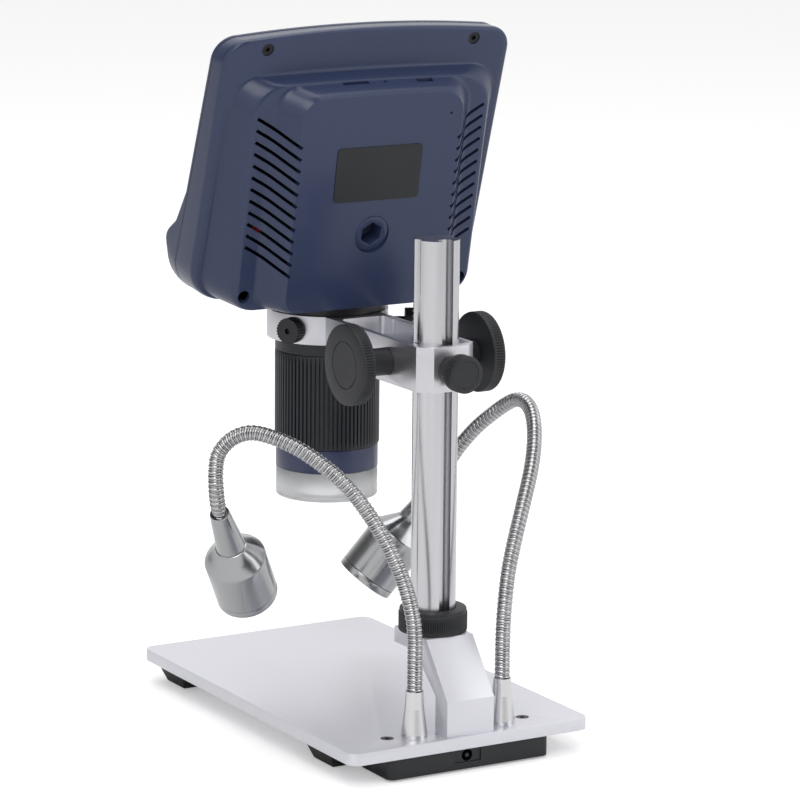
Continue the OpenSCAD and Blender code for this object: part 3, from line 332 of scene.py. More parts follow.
def build_streaks():
    """Drawn or turned streaks: noise stretched by the vector's scale along one axis; the mask is the coarser one."""
    g, i, o = new_group("metal_streaks",
                        [("Vector", "NodeSocketVector", None), ("Stretch", "NodeSocketVector", (1, 1, 1)),
                         ("Scale", "NodeSocketFloat", 1.0)],
                        [("Height", "NodeSocketFloat"), ("Mask", "NodeSocketFloat")])
    mul = g.nodes.new("ShaderNodeVectorMath")
    mul.operation = "MULTIPLY"
    g.links.new(i.outputs["Vector"], mul.inputs[0])
    g.links.new(i.outputs["Stretch"], mul.inputs[1])
    a = g.nodes.new("ShaderNodeTexNoise")
    a.inputs["Detail"].default_value = 4.0
    b = g.nodes.new("ShaderNodeTexNoise")
    b.inputs["Detail"].default_value = 2.0
    coarse = g.nodes.new("ShaderNodeMath")
    coarse.operation = "MULTIPLY"
    coarse.inputs[1].default_value = 0.23
    g.links.new(i.outputs["Scale"], coarse.inputs[0])
    for n in (a, b):
        g.links.new(mul.outputs[0], n.inputs["Vector"])
    g.links.new(i.outputs["Scale"], a.inputs["Scale"])
    g.links.new(coarse.outputs[0], b.inputs["Scale"])
    g.links.new(a.outputs["Fac"], o.inputs["Height"])
    g.links.new(b.outputs["Fac"], o.inputs["Mask"])
    return g


GRAIN = build_grain()
STREAKS = build_streaks()


def tint(c, f):
    """A colour multiplied by f."""
    return tuple(min(1.0, v * f) for v in c[:3]) + (1.0,)


def material(name, color, rough, metallic=0.0, group=None, settings=None, bump=0.1, distance=0.02,
             spread=0.08, rough_spread=0.08, coords="Object", hollow=None, **constants):
    """A Principled material whose colour and roughness vary a little with the group's mask, and whose normal
    takes the group's height. The constants go straight onto the shader's own sockets. hollow names a point
    attribute, 0 in hollows and 1 on crests, by which painted shade darkens the colour towards 0 in the hollows."""
    m = bpy.data.materials.new(name)
    m.use_nodes = True
    nt = m.node_tree
    p = nt.nodes["Principled BSDF"]
    p.inputs["Metallic"].default_value = metallic
    for k, v in constants.items():
        p.inputs[k.replace("_", " ")].default_value = v
    tc = nt.nodes.new("ShaderNodeTexCoord")
    g = nt.nodes.new("ShaderNodeGroup")
    g.node_tree = group or GRAIN
    for k, v in (settings or {}).items():
        g.inputs[k].default_value = v
    nt.links.new(tc.outputs[coords], g.inputs["Vector"])
    ramp = nt.nodes.new("ShaderNodeMix")
    ramp.data_type = "RGBA"
    ramp.inputs["A"].default_value = tint(color, 1.0 - spread)
    ramp.inputs["B"].default_value = tint(color, 1.0 + spread)
    nt.links.new(g.outputs["Mask"], ramp.inputs["Factor"])
    colour = ramp.outputs["Result"]
    # painted shade: the colour darkened towards the hollows of the given attribute
    if hollow:
        attr = nt.nodes.new("ShaderNodeAttribute")
        attr.attribute_name = hollow
        deep = nt.nodes.new("ShaderNodeMapRange")
        deep.inputs["From Min"].default_value = 0.15
        deep.inputs["From Max"].default_value = 0.8
        nt.links.new(attr.outputs["Fac"], deep.inputs["Value"])
        dark = nt.nodes.new("ShaderNodeMix")
        dark.data_type = "RGBA"
        dark.inputs["A"].default_value = tint(color, 0.06)
        nt.links.new(deep.outputs["Result"], dark.inputs["Factor"])
        nt.links.new(colour, dark.inputs["B"])
        colour = dark.outputs["Result"]
    nt.links.new(colour, p.inputs["Base Color"])
    rng = nt.nodes.new("ShaderNodeMapRange")
    rng.inputs["From Min"].default_value = 0.3
    rng.inputs["From Max"].default_value = 0.7
    rng.inputs["To Min"].default_value = max(0.02, rough - rough_spread * rough)
    rng.inputs["To Max"].default_value = min(1.0, rough + rough_spread * rough)
    nt.links.new(g.outputs["Mask"], rng.inputs["Value"])
    nt.links.new(rng.outputs["Result"], p.inputs["Roughness"])
    if bump:
        b = nt.nodes.new("ShaderNodeBump")
        b.inputs["Strength"].default_value = bump
        b.inputs["Distance"].default_value = distance * MM
        nt.links.new(g.outputs["Height"], b.inputs["Height"])
        nt.links.new(b.outputs["Normal"], p.inputs["Normal"])
    return m


def shaded_from_above(mat, z_dark, z_light, factor):
    """Darkens a material's colour by factor towards the height z_dark, as from the dark barrel behind it."""
    nt = mat.node_tree
    p = nt.nodes["Principled BSDF"]
    link = p.inputs["Base Color"].links[0]
    source = link.from_socket
    tc = nt.nodes.new("ShaderNodeTexCoord")
    sep = nt.nodes.new("ShaderNodeSeparateXYZ")
    nt.links.new(tc.outputs["Object"], sep.inputs[0])
    rng = nt.nodes.new("ShaderNodeMapRange")
    rng.interpolation_type = "SMOOTHSTEP"
    rng.inputs["From Min"].default_value = z_light * MM
    rng.inputs["From Max"].default_value = z_dark * MM
    nt.links.new(sep.outputs["Z"], rng.inputs["Value"])
    mul = nt.nodes.new("ShaderNodeMix")
    mul.data_type = "RGBA"
    mul.blend_type = "MULTIPLY"
    mul.inputs["B"].default_value = (factor, factor, factor, 1.0)
    nt.links.new(rng.outputs["Result"], mul.inputs["Factor"])
    nt.links.new(source, mul.inputs["A"])
    nt.links.new(mul.outputs["Result"], p.inputs["Base Color"])


BLASTED = material("blasted_aluminium", (0.75, 0.75, 0.80), 0.44, 0.80, settings={"Scale": 2600.0, "Broad Scale": 9.0},
                   bump=0.35, distance=0.03, spread=0.02, rough_spread=0.05)
# the arm's aluminium, darker than the plate's: painted shade for the arm's darker sides
ARM_SHADED_METAL = material("satin_arm_painted_shade", (0.66, 0.66, 0.70), 0.34, 0.95, settings={"Scale": 2600.0, "Broad Scale": 30.0},
                     bump=0.30, distance=0.03, spread=0.04, rough_spread=0.05)
DRAWN = material("drawn_column", (0.62, 0.62, 0.645), 0.25, 1.0, group=STREAKS,
                 settings={"Stretch": (1.0, 1.0, 0.02), "Scale": 900.0}, bump=0.30, distance=0.03, spread=0.22)
TURNED = material("turned_aluminium", (0.41, 0.415, 0.425), 0.19, 1.0, group=STREAKS,
                  settings={"Stretch": (1.0, 9.0, 1.0), "Scale": 14.0}, bump=0.09, spread=0.05, coords="UV")
# coil steel, with painted shade in the hollows between its wires
COIL = material("coil_steel", (0.54, 0.54, 0.55), 0.22, 1.0, settings={"Scale": 900.0, "Broad Scale": 60.0},
                spread=0.10, hollow="crest")
BRIGHT = material("bright_steel", (0.70, 0.70, 0.71), 0.20, 1.0, group=STREAKS,
                  settings={"Stretch": (1.0, 1.0, 0.05), "Scale": 500.0}, bump=0.15, spread=0.06)
DARK_STEEL = material("dark_screw", (0.025, 0.025, 0.028), 0.38, 0.7, settings={"Scale": 1500.0, "Broad Scale": 90.0})
BRASS = material("brass", (0.60, 0.42, 0.16), 0.30, 1.0, settings={"Scale": 1200.0, "Broad Scale": 60.0})
NAVY = material("navy_plastic", (0.027, 0.039, 0.090), 0.26, settings={"Scale": 2200.0, "Broad Scale": 12.0},
                bump=0.08, spread=0.015, rough_spread=0.01, Specular_IOR_Level=0.42)
NAVY_RING = material("navy_ring", (0.030, 0.040, 0.095), 0.30, settings={"Scale": 2200.0, "Broad Scale": 20.0},
                     bump=0.08, spread=0.04)
BLACK = material("black_plastic", (0.008, 0.0097, 0.0128), 0.42, settings={"Scale": 1800.0, "Broad Scale": 25.0},
                 bump=0.15)
KNOB = material("black_knob", (0.0125, 0.0134, 0.0165), 0.48, settings={"Scale": 1600.0, "Broad Scale": 40.0},
                bump=0.2)
RUBBER = material("ribbed_rubber", (0.0080, 0.0100, 0.0150), 0.42, settings={"Scale": 1500.0, "Broad Scale": 30.0},
                  bump=0.15)
FOOT_RUBBER = material("foot_rubber", (0.012, 0.013, 0.014), 0.6, settings={"Scale": 1200.0, "Broad Scale": 30.0},
                       bump=0.3, distance=0.03, spread=0.1)
LABEL = material("label_black", (0.006, 0.0078, 0.0098), 0.5, settings={"Scale": 1600.0, "Broad Scale": 30.0},
                 bump=0.05, distance=0.01, spread=0.05)
BOARD = material("circuit_board", (0.012, 0.09, 0.035), 0.4, settings={"Scale": 700.0, "Broad Scale": 200.0},
                 bump=0.2, distance=0.05, spread=0.3)
SCREEN = material("screen_glass", (0.006, 0.006, 0.008), 0.06, settings={"Scale": 300.0, "Broad Scale": 10.0},
                  bump=0.0, spread=0.05)
PANEL = material("display_panel", (0.02, 0.022, 0.026), 0.3, settings={"Scale": 3000.0, "Broad Scale": 40.0},
                 bump=0.05, distance=0.01)
FROST = material("frosted_cap", (0.97, 0.975, 1.0), 0.30, settings={"Scale": 1400.0, "Broad Scale": 50.0},
                 bump=0.15, distance=0.03, spread=0.02, Transmission_Weight=0.75, IOR=1.45)
LENS_GLASS = material("lens_glass", (0.9, 0.93, 0.97), 0.02, settings={"Scale": 300.0, "Broad Scale": 10.0},
                      bump=0.0, spread=0.01, Transmission_Weight=1.0, IOR=1.5)
LAMP_LENS = material("lamp_lens", (0.80, 0.80, 0.72), 0.25, settings={"Scale": 900.0, "Broad Scale": 60.0},
                     spread=0.05)
RED = material("red_lamp", (0.30, 0.01, 0.01), 0.3, settings={"Scale": 900.0, "Broad Scale": 60.0},
               bump=0.05, distance=0.01, Emission_Color=(1.0, 0.03, 0.02, 1.0), Emission_Strength=0.03)
shaded_from_above(FROST, 96.0, 86.5, 0.55)

# the CAD solids by material, also those that a shaped piece stands for
CARRIED = {
    BLASTED: ["base_plate", "column_foot"], ARM_SHADED_METAL: ["arm"], DRAWN: ["column"],
    BRIGHT: ["rack", "focus_shaft", "neck_sockets", "socket_nuts", "board_sockets"],
    DARK_STEEL: ["box_screws", "foot_screws", "column_bolt", "shell_screws"],
    BRASS: ["focus_pinion", "lock_stud"],
    BLACK: ["control_box", "power_jack", "barrel_collar", "barrel_tube", "lens_carrier",
            *(f"front_button_{i}" for i in range(1, 6))],
    KNOB: ["shaft_bushings", "ring_nut", "knob_right", "knob_left", "knob_caps", "lock_knob",
           "clamp_screw_right", "clamp_screw_left"],
    RUBBER: ["focus_grip"], FOOT_RUBBER: ["rubber_feet"], LABEL: ["rating_plate"],
    BOARD: ["control_board", "sensor_board", "light_ring", "main_board", "button_board"],
    SCREEN: ["screen_glass"], PANEL: ["display_panel"], FROST: ["frosted_cap"], LENS_GLASS: ["lenses"],
    LAMP_LENS: ["right_lamp_light", "left_lamp_light"], RED: ["indicator_lamp"],
    NAVY: ["rear_shell", "front_bezel", "mount_insert"], NAVY_RING: ["nose_ring"],
    COIL: ["right_neck_lower", "right_neck_upper", "left_neck_lower", "left_neck_upper"],
    TURNED: ["right_lamp", "left_lamp", "right_lamp_ring", "left_lamp_ring"],
}
for mat, names in CARRIED.items():
    for n in names:
        NODES[n].data.materials.clear()
        NODES[n].data.materials.append(mat)


# ------------------------------------------------------------------ necks
def neck_curve(path, aim, side, step=0.16):
    """The neck's centre line: a Catmull-Rom curve through the path's points, from the socket to the lamp's ball,
    resampled every step mm of its length. It leads in from 12 mm above the plate and out 7 mm along the lamp."""
    p = np.asarray(path, float)
    lean, turn = math.radians(aim[0]), math.radians(aim[1])
    aim_dir = np.array([math.sin(lean) * math.cos(turn), math.sin(lean) * math.sin(turn), math.cos(lean)])
    q = np.vstack([[0, 0, 12], p, p[-1] - 7 * aim_dir])
    t = np.linspace(0, 1, 24, endpoint=False)[:, None]
    parts = []
    for i in range(1, len(p)):
        u, v, w, x = q[i - 1], q[i], q[i + 1], q[i + 2]
        parts.append(0.5 * (2 * v + (w - u) * t + (2 * u - 5 * v + 4 * w - x) * t ** 2
                            + (3 * v - u - 3 * w + x) * t ** 3))
    c = np.vstack(parts + [p[-1:]])
    c += np.array([side * SOCKET[0], SOCKET[1], 0])
    s = np.concatenate([[0], np.cumsum(np.linalg.norm(np.diff(c, axis=0), axis=1))])
    even = np.linspace(0, s[-1], int(s[-1] / step) + 1)
    return np.stack([np.interp(even, s, c[:, k]) for k in range(3)], 1), even


def coil_neck(name, path, aim, side, bodies):
    """A wound metal neck. Along the curve the radius follows one round wire and one low wedge wire a pitch, and the
    pattern climbs one pitch a turn: phase = length / pitch + angle / 360. Its lamp end is drawn in, to clear the
    lamp's sleeve when the lamp tilts. The point attribute "crest" is 1 on the wires and low between them."""
    c, s = neck_curve(path, aim, side)
    tangent = np.gradient(c, axis=0)
    tangent /= np.linalg.norm(tangent, axis=1)[:, None]
    frames = [np.cross(tangent[0], [1.0, 0, 0])]
    frames[0] /= np.linalg.norm(frames[0])
    for t in tangent[1:]:
        u = frames[-1] - t * np.dot(frames[-1], t)
        frames.append(u / np.linalg.norm(u))
    u = np.array(frames)
    v = np.cross(tangent, u)
    cols = COIL_COLS
    ang = np.linspace(0, 2 * math.pi, cols, endpoint=False)
    phase = (s[:, None] / COIL_PITCH + ang[None, :] / (2 * math.pi)) % 1.0
    a = np.clip(phase / WIRE_SHARE, 0, 1)
    b = np.clip((phase - WIRE_SHARE) / (1 - WIRE_SHARE), 0, 1)
    round_wire = np.sqrt(np.clip(1 - (2 * a - 1) ** 2, 0, 1))
    wedge = WEDGE_FOOT + WEDGE_RISE * (1 - np.abs(2 * b - 1))
    bulge = np.where(phase < WIRE_SHARE, round_wire, wedge)
    drawn_in = END_DRAW * np.clip(1 - (s[-1] - s) / END_LENGTH, 0, 1)[:, None]
    r = NECK_R - WIRE_DEPTH * (1 - bulge) - drawn_in
    pts = c[:, None, :] + r[..., None] * (np.cos(ang)[None, :, None] * u[:, None, :]
                                          + np.sin(ang)[None, :, None] * v[:, None, :])
    flat = pts.reshape(-1, 3)
    n = len(flat)
    faces = grid_faces(len(c), cols)
    last = (len(c) - 1) * cols
    flat = np.vstack([flat, c[0], c[-1]])
    faces += [[n, (j + 1) % cols, j] for j in range(cols)]
    faces += [[n + 1, last + j, last + (j + 1) % cols] for j in range(cols)]
    ob = make_mesh(name, flat, faces, 60)
    # the crest attribute drives the coil material's painted shade between the wires
    ob.data.attributes.new("crest", "FLOAT", "POINT").data.foreach_set("value", np.append(bulge.ravel(), [1.0, 1.0]))
    mid = np.array(path[NECK_JOINT]) + np.array([side * SOCKET[0], SOCKET[1], 0])
    t = np.array(path[NECK_JOINT + 1], float) - np.array(path[NECK_JOINT - 1], float)
    t /= np.linalg.norm(t)
    start, end = (mid - BLEND_REACH * t) * MM, (mid + BLEND_REACH * t) * MM
    finish(ob, (*bodies, tuple(start), tuple(end)), COIL, bodies)


for hand, path, aim, side in (("right", RIGHT_PATH, RIGHT_AIM, 1), ("left", LEFT_PATH, LEFT_AIM, -1)):
    coil_neck(hand + "_coil_neck", path, aim, side, (hand + "_neck_lower", hand + "_neck_upper"))


# ------------------------------------------------------------------ head
def outline(w, b, t, s, rt, rb, fine=1):
    """Head outline [x, u]: half width w, from height b to t, crowned by s, corner radii rt above and rb below. fine
    multiplies the number of points on each side."""
    arc = np.linspace(0, 90, 13)
    side = np.linspace(0, 1, 30 * fine)[1:-1]
    pts = [(w - rt + rt * math.cos(math.radians(a)), t - s - rt + rt * math.sin(math.radians(a))) for a in arc]
    for i in np.linspace(1, -1, 41)[1:-1]:
        x = (w - rt) * i
        pts.append((x, t - s * i * i))
    pts += [(-w + rt + rt * math.cos(math.radians(90 + a)), t - s - rt + rt * math.sin(math.radians(90 + a)))
            for a in arc]
    pts += [(-w, t - s - rt + (b + rb - t + s + rt) * k) for k in side]
    pts += [(-w + rb + rb * math.cos(math.radians(180 + a)), b + rb + rb * math.sin(math.radians(180 + a)))
            for a in arc]
    pts += [((-w + rb) + 2 * (w - rb) * k, b) for k in np.linspace(0, 1, 32)[1:-1]]
    pts += [(w - rb + rb * math.cos(math.radians(270 + a)), b + rb + rb * math.sin(math.radians(270 + a)))
            for a in arc]
    pts += [(w, b + rb + (t - s - rt - b - rb) * k) for k in side]
    return np.array(pts)


def on_plane(o, n, k):
    """The outline in head space, on the plane n + k * u."""
    return np.stack([o[:, 0], n + k * o[:, 1], o[:, 1]], 1)


def under(n):
    """Height of the sloping underside at depth n."""
    return UNDER_0 + UNDER_K * (n - PART_N)


def filleted(rings, reach, steps=7):
    """Rings of points joined by straight walls, with every wall-to-wall corner rounded: a quadratic curve from the
    point reach before the ring to the point reach behind it."""
    out = [rings[0]]
    for k in range(1, len(rings) - 1):
        a, c, b = rings[k - 1], rings[k], rings[k + 1]
        la = np.linalg.norm(a - c, axis=1, keepdims=True)
        lb = np.linalg.norm(b - c, axis=1, keepdims=True)
        ra = np.minimum(reach[k], 0.48 * la)
        rb = np.minimum(reach[k], 0.48 * lb)
        s, e = c + (a - c) * ra / la, c + (b - c) * rb / lb
        for t in np.linspace(0, 1, steps):
            out.append((1 - t) ** 2 * s + 2 * t * (1 - t) * c + t * t * e)
    out.append(rings[-1])
    return np.array(out)


def head_matrix():
    """From head space (x, back n, up u) to the row frame, in metres."""
    return Matrix.Translation(Vector((0, HEAD_Y, HEAD_Z)) * MM) @ turn_x(-HEAD_TILT)


# the rear shell's rings from the parting groove backwards: rim, ledge, hump; each has a fillet's reach in mm
SHELL_RINGS = [
    on_plane(outline(HW + 0.5 - GROOVE, UNDER_0 + GROOVE, HT - 2.7 - GROOVE, CROWN, 10.6, 17.6), PART_N, PART_K),
    on_plane(outline(HW + 0.5, UNDER_0, HT - 2.7, CROWN, 11, 18), PART_N + 0.35, PART_K),
    on_plane(outline(HW + 0.4, under(-2.6), HT - 0.7, CROWN, 11, 17), -2.6, 0),
    on_plane(outline(HW - 0.9, under(-0.6) + 0.1, HT - 0.7, CROWN, 10.5, 16), -0.6, 0),
    on_plane(outline(HW - 3.5, under(0) + 0.3, HT - 2.2, CROWN, 9.5, 14), 0, 0),
    on_plane(outline(HW - 4.9, under(0) + 0.6, HT - 19.6, 0.8, 14, 13), 0, 0),
    on_plane(outline(HW - 11, under(17) + 0.1, HT - 21, 0.8, 15, 10), LEDGE_N - 1.8, LEDGE_K),
    on_plane(outline(HW - 12.6, under(19) + 0.3, HT - 21.6, 0.8, 16, 9.5), LEDGE_N, LEDGE_K),
    on_plane(outline(HW - 23, under(19) + 0.6, HT - 22, 0.6, 12, 7.5), LEDGE_N, LEDGE_K),
    on_plane(outline(HW - 29.6, under(29) + 0.1, HT - 23.4, 0.6, 11, 7.5), HUMP_N - 2, HUMP_K),
    on_plane(outline(HW - 31.6, under(31) + 0.8, HT - 24.6, 0.6, 9.5, 7), HUMP_N, HUMP_K)]
SHELL_REACH = [0, 0.25, 0.9, 1.2, 0.8, 1.6, 1.6, 1.6, 2.6, 1.6, 0]


def closed_skin(name, rows, inner_rows):
    """A shell between an outer and an inner family of rings, capped at the far end and joined at the near rim."""
    m = rows.shape[1]
    n, k = len(rows), len(inner_rows)
    pts = np.vstack([rows.reshape(-1, 3), inner_rows.reshape(-1, 3)])
    faces = grid_faces(n, m)
    faces += [list(range((n - 1) * m, n * m))]
    off = n * m
    faces += [f[::-1] for f in grid_faces(k, m, base=off)]
    faces += [list(range(off + (k - 1) * m, off + k * m))[::-1]]
    faces += [[off + j, off + (j + 1) % m, (j + 1) % m, j] for j in range(m)]
    return make_mesh(name, pts, faces, 35)


def rear_housing():
    """The head's rear shell: rings filleted into one another, hollow, with slanted vents, screw wells and sockets."""
    d = SHELL_WALL
    rows = filleted(SHELL_RINGS, SHELL_REACH)
    inner = np.array([
        on_plane(outline(HW + 0.5 - d, UNDER_0 + d, HT - 2.7 - d, CROWN, 11 - d, 18 - d), PART_N, PART_K),
        on_plane(outline(HW - 0.5 - d, under(0) + 0.3 + d, HT - 2 - d, CROWN, 10 - d, 15 - d), -d, 0),
        on_plane(outline(HW - 5.5 - d, under(0) + 0.6 + d, HT - 19.8 - d, 0.8, 14 - d, 13 - d), -d, 0),
        on_plane(outline(HW - 12.6 - d, under(19) + 0.6 + d, HT - 21.8 - d, 0.8, 15 - d, 10 - d), LEDGE_N - d, LEDGE_K),
        on_plane(outline(HW - 24 - d, under(19) + 1 + d, HT - 22.4 - d, 0.6, 12 - d, 7.5 - d), LEDGE_N - d, LEDGE_K),
        on_plane(outline(HW - 31.6 - d, under(31) + 1 + d, HT - 24.6 - d, 0.6, 9.5 - d, 7 - d), HUMP_N - d, HUMP_K)])
    ob = closed_skin("rear_housing", rows, inner)
    cutters = []
    for s in (1, -1):
        for i in range(VENTS):
            c = box_piece("vent", (-VENT_LEN, 0, -VENT_W / 2), (0, 40, VENT_W / 2))
            m = Matrix.Scale(-1, 4, (1, 0, 0)) if s < 0 else Matrix.Identity(4)
            at = Vector((VENT_X, 4, VENT_U - VENT_PITCH * i)) * MM
            c.data.transform(m @ Matrix.Translation(at) @ turn_y(-VENT_LEAN))
            if s < 0:
                c.data.flip_normals()
            cutters.append(c)
    for s in (1, -1):
        for (x, u), n0 in ((SCREW_HI, -2.6), (SCREW_LO, 2.0)):
            cutters.append(put(drill("well", SCREW_WELL_R, 60, 32), turn_x(-90), (s * x, n0, u)))
    cutters.append(put(drill("insert_hole", INSERT_R + 0.2, 60, 64), turn_x(-90), (0, BOARD_N + 6, INSERT_U)))
    for name, x, half, lo, hi in (("card_hole", CARD_X, 6.5, 0.55, 2.45), ("port_hole", PORT_X, 4.2, 0.35, 3.25)):
        cutters.append(box_piece(name, (x - half, BOARD_N + lo, HT - 28), (x + half, BOARD_N + hi, HT - 14)))
    cutters.append(put(drill("reset_hole", 0.7, 30, 16), at=(RESET_X, BOARD_N + 1.8, HT - 37)))
    cutters.append(put(drill("pin_hole", 0.6, 40, 16), turn_x(-90), (PIN_X, 10, HT - 35)))
    cut(ob, cutters)
    shade(ob, 35)
    ob.data.transform(head_matrix())
    finish(ob, "microscope_head", NAVY, ("rear_shell",))


def face_depth(u):
    """Depth n of the front face at height u: the leaning screen face, the chin, the rounded ledge, the tuck under.
    The line through its knots is sampled every 0.25 mm and smoothed over ten samples."""
    k = math.tan(math.radians(FACE_LEAN))
    c, s = math.cos(math.radians(CHIN_LEAN)), math.sin(math.radians(CHIN_LEAN))
    cn, cu = CHIN_N - CHIN_LEN * s, CHIN_U - CHIN_LEN * c
    low = [(-21.0, -7.0), (-23.5, -6.0), (-25.8, -2.0), (-27.4, 5.0)]
    ledge = [(cn + n, cu + v) for n, v in reversed(CHIN_LEDGE)]
    knots = np.array(low + ledge + [(cn, cu), (CHIN_N, CHIN_U), (CHIN_N + k * (HT - CHIN_U), HT)])
    sample = np.linspace(-BEZEL_LOW, HT, 545)
    raw = np.interp(sample, knots[:, 1], knots[:, 0])
    kernel = np.hanning(11)
    soft = np.convolve(np.pad(raw, 5, mode="edge"), kernel / kernel.sum(), "valid")
    return np.interp(u, sample, soft)


def front_frame():
    """The front bezel: a wall from the parting groove forwards, a rounded edge, and a face that follows the screen
    lean, the fold, the chin and its ledge, drawn in to the middle; then its inner skin, window, glass seat and
    button holes."""
    def front(o, lift):
        """The outline laid on the face and lifted off it, but never behind the parting groove."""
        limit = PART_N + PART_K * o[:, 1] - 0.5 - 2.2 * np.clip((UNDER_0 - o[:, 1]) / 2.8, 0, 1)
        return np.stack([o[:, 0], np.minimum(face_depth(o[:, 1]) + lift, limit), o[:, 1]], 1)

    def shrunk(d):
        """The bezel's own outline, drawn in by d."""
        return outline(HW + 0.5 - d, d - BEZEL_LOW, HT - 2.7 - d, CROWN, 11 - 0.6 * d, 22 - 0.6 * d, 3)

    rows = [on_plane(outline(HW + 0.5 - GROOVE, UNDER_0 + GROOVE, HT - 2.7 - GROOVE, CROWN, 10.6, 17.6, 3),
                     PART_N, PART_K),
            on_plane(outline(HW + 0.5, UNDER_0, HT - 2.7, CROWN, 11, 18, 3), PART_N - 0.35, PART_K)]
    for a in np.linspace(0, 90, 8):
        d = BEZEL_EDGE * (1 - math.cos(math.radians(a)))
        rows.append(front(shrunk(d), BEZEL_EDGE * (1 - math.sin(math.radians(a)))))
    ring = rows[-1]
    for f in np.linspace(1, 0.02, 100)[1:]:
        o = np.stack([ring[:, 0] * f, BEZEL_MIDDLE + (ring[:, 2] - BEZEL_MIDDLE) * f], 1)
        rows.append(front(o, 0))
    rows = np.array(rows)[:, ::-1]
    t = BEZEL_WALL
    inner = [on_plane(outline(HW + 0.5 - t, UNDER_0 + t, HT - 2.7 - t, CROWN, 11 - t, 18 - t, 3), PART_N, PART_K)]
    base = outline(HW + 0.5 - t, t - BEZEL_LOW, HT - 2.7 - t, CROWN, 11 - t, 22 - t, 3)
    for f in np.linspace(1, 0.02, 60):
        o = np.stack([base[:, 0] * f, BEZEL_MIDDLE + (base[:, 1] - BEZEL_MIDDLE) * f], 1)
        inner.append(front(o, t))
    inner = np.array(inner)[:, ::-1]
    ob = closed_skin("front_frame", rows, inner)
    on_face = Matrix.Translation(Vector((0, CHIN_N, CHIN_U)) * MM) @ turn_x(-FACE_LEAN)
    on_chin = Matrix.Translation(Vector((0, CHIN_N, CHIN_U)) * MM) @ turn_x(-CHIN_LEAN)

    def plate_cutter(name, w, h, r, n0, n1):
        """A flat block parallel to the screen, w by h with corner radius r, from depth n0 to n1."""
        a = rounded([(-w / 2, -h / 2), (w / 2, -h / 2), (w / 2, h / 2), (-w / 2, h / 2)], r, 7)
        k = len(a)
        pts = np.vstack([np.stack([a[:, 0], np.full(k, n0), a[:, 1] + GLASS_U], 1),
                         np.stack([a[:, 0], np.full(k, n1), a[:, 1] + GLASS_U], 1)])
        faces = [list(range(k)), list(range(k, 2 * k))[::-1]]
        faces += [[j, k + j, k + (j + 1) % k, (j + 1) % k] for j in range(k)]
        c = make_mesh(name, pts, faces)
        c.data.transform(on_face)
        return c

    cutters = [plate_cutter("glass_seat", GLASS_W + 0.2, GLASS_H + 0.2, 4.0, -10, GLASS_SEAT),
               plate_cutter("window", WINDOW_W, WINDOW_H, 2.0, 0.5, 12)]
    for i in range(-2, 3):
        c = drill("button_hole", BUTTON_D / 2 + 0.12, 20, 48)
        c.data.transform(on_chin @ Matrix.Translation(Vector((i * BUTTON_PITCH, -5, BUTTON_U)) * MM) @ turn_x(-90))
        cutters.append(c)
    cut(ob, cutters)
    shade(ob, 35)
    ob.data.transform(head_matrix())
    finish(ob, "microscope_head", NAVY, ("front_bezel",))


rear_housing()
front_frame()
finish(softened("mount_insert", 0.3), "microscope_head", NAVY, ("mount_insert",))


# ------------------------------------------------------------------ knobs, rings and lamps
def ribbed(count, depth, lo, hi, share=0.5, soften=0.6):
    """Radius change of a ribbed rim: count ribs, depth mm, between heights lo and hi, on the outer radius only. share
    is the rib's part of the pitch, and soften the length in mm over which the ribs fade out."""
    def change(r, z, a):
        x = (a * count / (2 * math.pi)) % 1.0
        wave = np.clip((np.abs(2 * x - 1) - share) / (1 - share) * 2.0, 0, 1)
        fade = np.clip((z - lo) / soften, 0, 1) * np.clip((hi - z) / soften, 0, 1)
        return np.where(r > r.max() - 0.6, -depth * wave * fade, 0.0)
    return change


def focus_knob(hand, side):
    """A knurled focus knob: a disc with rounded rims, ribs round it and a fine groove in its face."""
    r, h, g = KNOB_R, KNOB_T, KNOB_GROOVE
    lo, hi = 0.6, h - 0.6
    prof = [(0, 0), (r - 0.7, 0), (r - 0.2, 0.2), (r, 0.7)]
    prof += [(r, z) for z in np.linspace(lo + 0.2, hi - 0.2, 6)]
    prof += [(r, h - 0.7), (r - 0.2, h - 0.2), (r - 0.7, h)]
    prof += [(g + 0.22, h), (g + 0.16, h - 0.35), (g - 0.16, h - 0.35), (g - 0.22, h), (0, h)]
    ob = turned(hand + "_focus_knob", prof, KNOB_RIBS * 6, ribbed(KNOB_RIBS, 0.42, lo, hi), 32)
    put(ob, turn_y(side * 90), (side * KNOB_X, PINION_Y, ARM_Z))
    finish(ob, "focus_drive", KNOB, ("knob_" + hand,))


def ring_nut():
    """The column's ring nut: ribs round its wall, a plain step above them and a lip that closes its bore."""
    r, lo, hi = NUT_R, NUT_BOT, NUT_TOP
    prof = [(NUT_BORE, lo), (r - 0.8, lo), (r - 0.2, lo + 0.2), (r, lo + 0.8), (r, lo + 2.9), (r, lo + 5.9),
            (r, hi - 2.1), (r - 0.4, hi - 1.5), (r - 0.4, hi - 0.5), (r - 0.6, hi - 0.1), (r - 1, hi),
            (NUT_LIP_BORE, hi), (NUT_LIP_BORE, NUT_LIP), (NUT_BORE, NUT_LIP)]
    ob = turned("ribbed_ring_nut", prof, NUT_RIBS * 6, ribbed(NUT_RIBS, 0.4, lo + 0.6, hi - 1.9, soften=0.4), 32)
    finish(put(ob, at=(0, COL_Y, 0)), "ring_nut", KNOB, ("ring_nut",))


